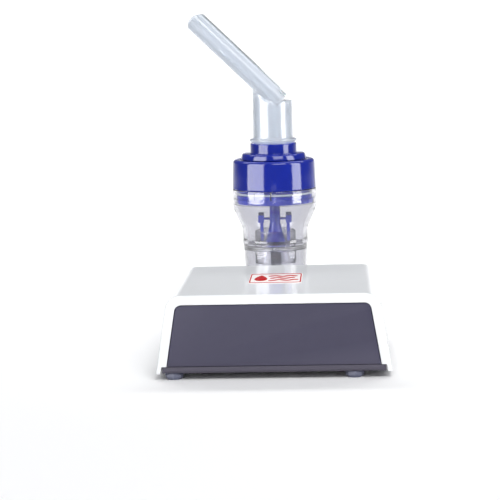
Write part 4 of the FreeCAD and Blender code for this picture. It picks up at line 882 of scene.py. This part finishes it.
def add_floor():
    """A pale floor that sweeps up behind the object."""
    mesh = bpy.data.meshes.new("floor")
    work = bmesh.new()
    front, depth, bend, half = -3.0, 1.2, 0.5, 3.0
    path = [(front, 0.0), (depth, 0.0)]
    path += [
        (depth + bend * math.sin(turn), bend - bend * math.cos(turn))
        for turn in (math.radians(4 * i) for i in range(1, 15))
    ]
    rows = [[work.verts.new((x, y, z)) for x in (-half, half)] for y, z in path]
    for low, high in zip(rows, rows[1:]):
        work.faces.new((low[0], low[1], high[1], high[0])).smooth = True
    work.to_mesh(mesh)
    work.free()
    made, principled = shader("floor_paper", srgb(250, 250, 250), 0.9)
    vary_colour(made, principled, srgb(248, 248, 248), 0.4, 0.01)
    mesh.materials.append(made)
    floor = bpy.data.objects.new("floor", mesh)
    bpy.context.scene.collection.objects.link(floor)


def softbox(name, place, target, width, height, radiance):
    """A rectangular light at place that faces target; places are in metres."""
    data = bpy.data.lights.new(name, "AREA")
    data.shape = "RECTANGLE"
    data.size, data.size_y = width, height
    data.energy = radiance * math.pi * width * height
    light = bpy.data.objects.new(name, data)
    light.location = place
    light.rotation_euler = (Vector(target) - Vector(place)).to_track_quat("-Z", "Y").to_euler()
    light.visible_camera = False
    bpy.context.scene.collection.objects.link(light)
    return light


def around(azimuth, elevation, distance):
    """A place round the nebulizer, azimuth degrees to the right of its front."""
    turn, lift = math.radians(azimuth), math.radians(elevation)
    away = Vector((math.sin(turn) * math.cos(lift), -math.cos(turn) * math.cos(lift), math.sin(lift)))
    return Vector((AXIS.x, AXIS.y, 0.1)) + away * distance


def add_lights():
    """Two tall strips that mirror in the plastics, a broad key, and a lamp on the backdrop."""
    world = bpy.data.worlds.new("studio")
    world.use_nodes = True
    world.node_tree.nodes["Background"].inputs["Color"].default_value = (0.93, 0.95, 1.0, 1.0)
    world.node_tree.nodes["Background"].inputs["Strength"].default_value = 0.25
    bpy.context.scene.world = world
    middle = Vector((AXIS.x, AXIS.y, 0.1))
    above_housing = Vector((0, 0, 0.22))
    for name, azimuth, width in (("left_strip", -51, 0.60), ("right_strip", 67, 0.32)):
        place = around(azimuth, 0, 0.65) + above_housing
        strip = softbox(name, place, middle + above_housing, width, 0.74, 9.0)
        strip.visible_diffuse = False
    softbox("key", around(20, 45, 1.4), middle, 0.8, 0.8, 6.1)
    front = softbox("front_fill", (0, -1.3, 0.3), (0, 0, 0.05), 1.0, 0.5, 2.0)
    front.visible_glossy = False
    softbox("backdrop_lamp", (0, 0.6, 1.1), (0, 1.3, 0.1), 2.4, 0.5, 6.0)


finish_cad_nodes()
add_shell()
add_front_panel()
add_feet()
add_badge()
add_cup()
add_lid()
add_collar()
add_mouthpiece()
add_floor()
add_lights()
add_camera()
bpy.context.scene.view_settings.view_transform = "Standard"
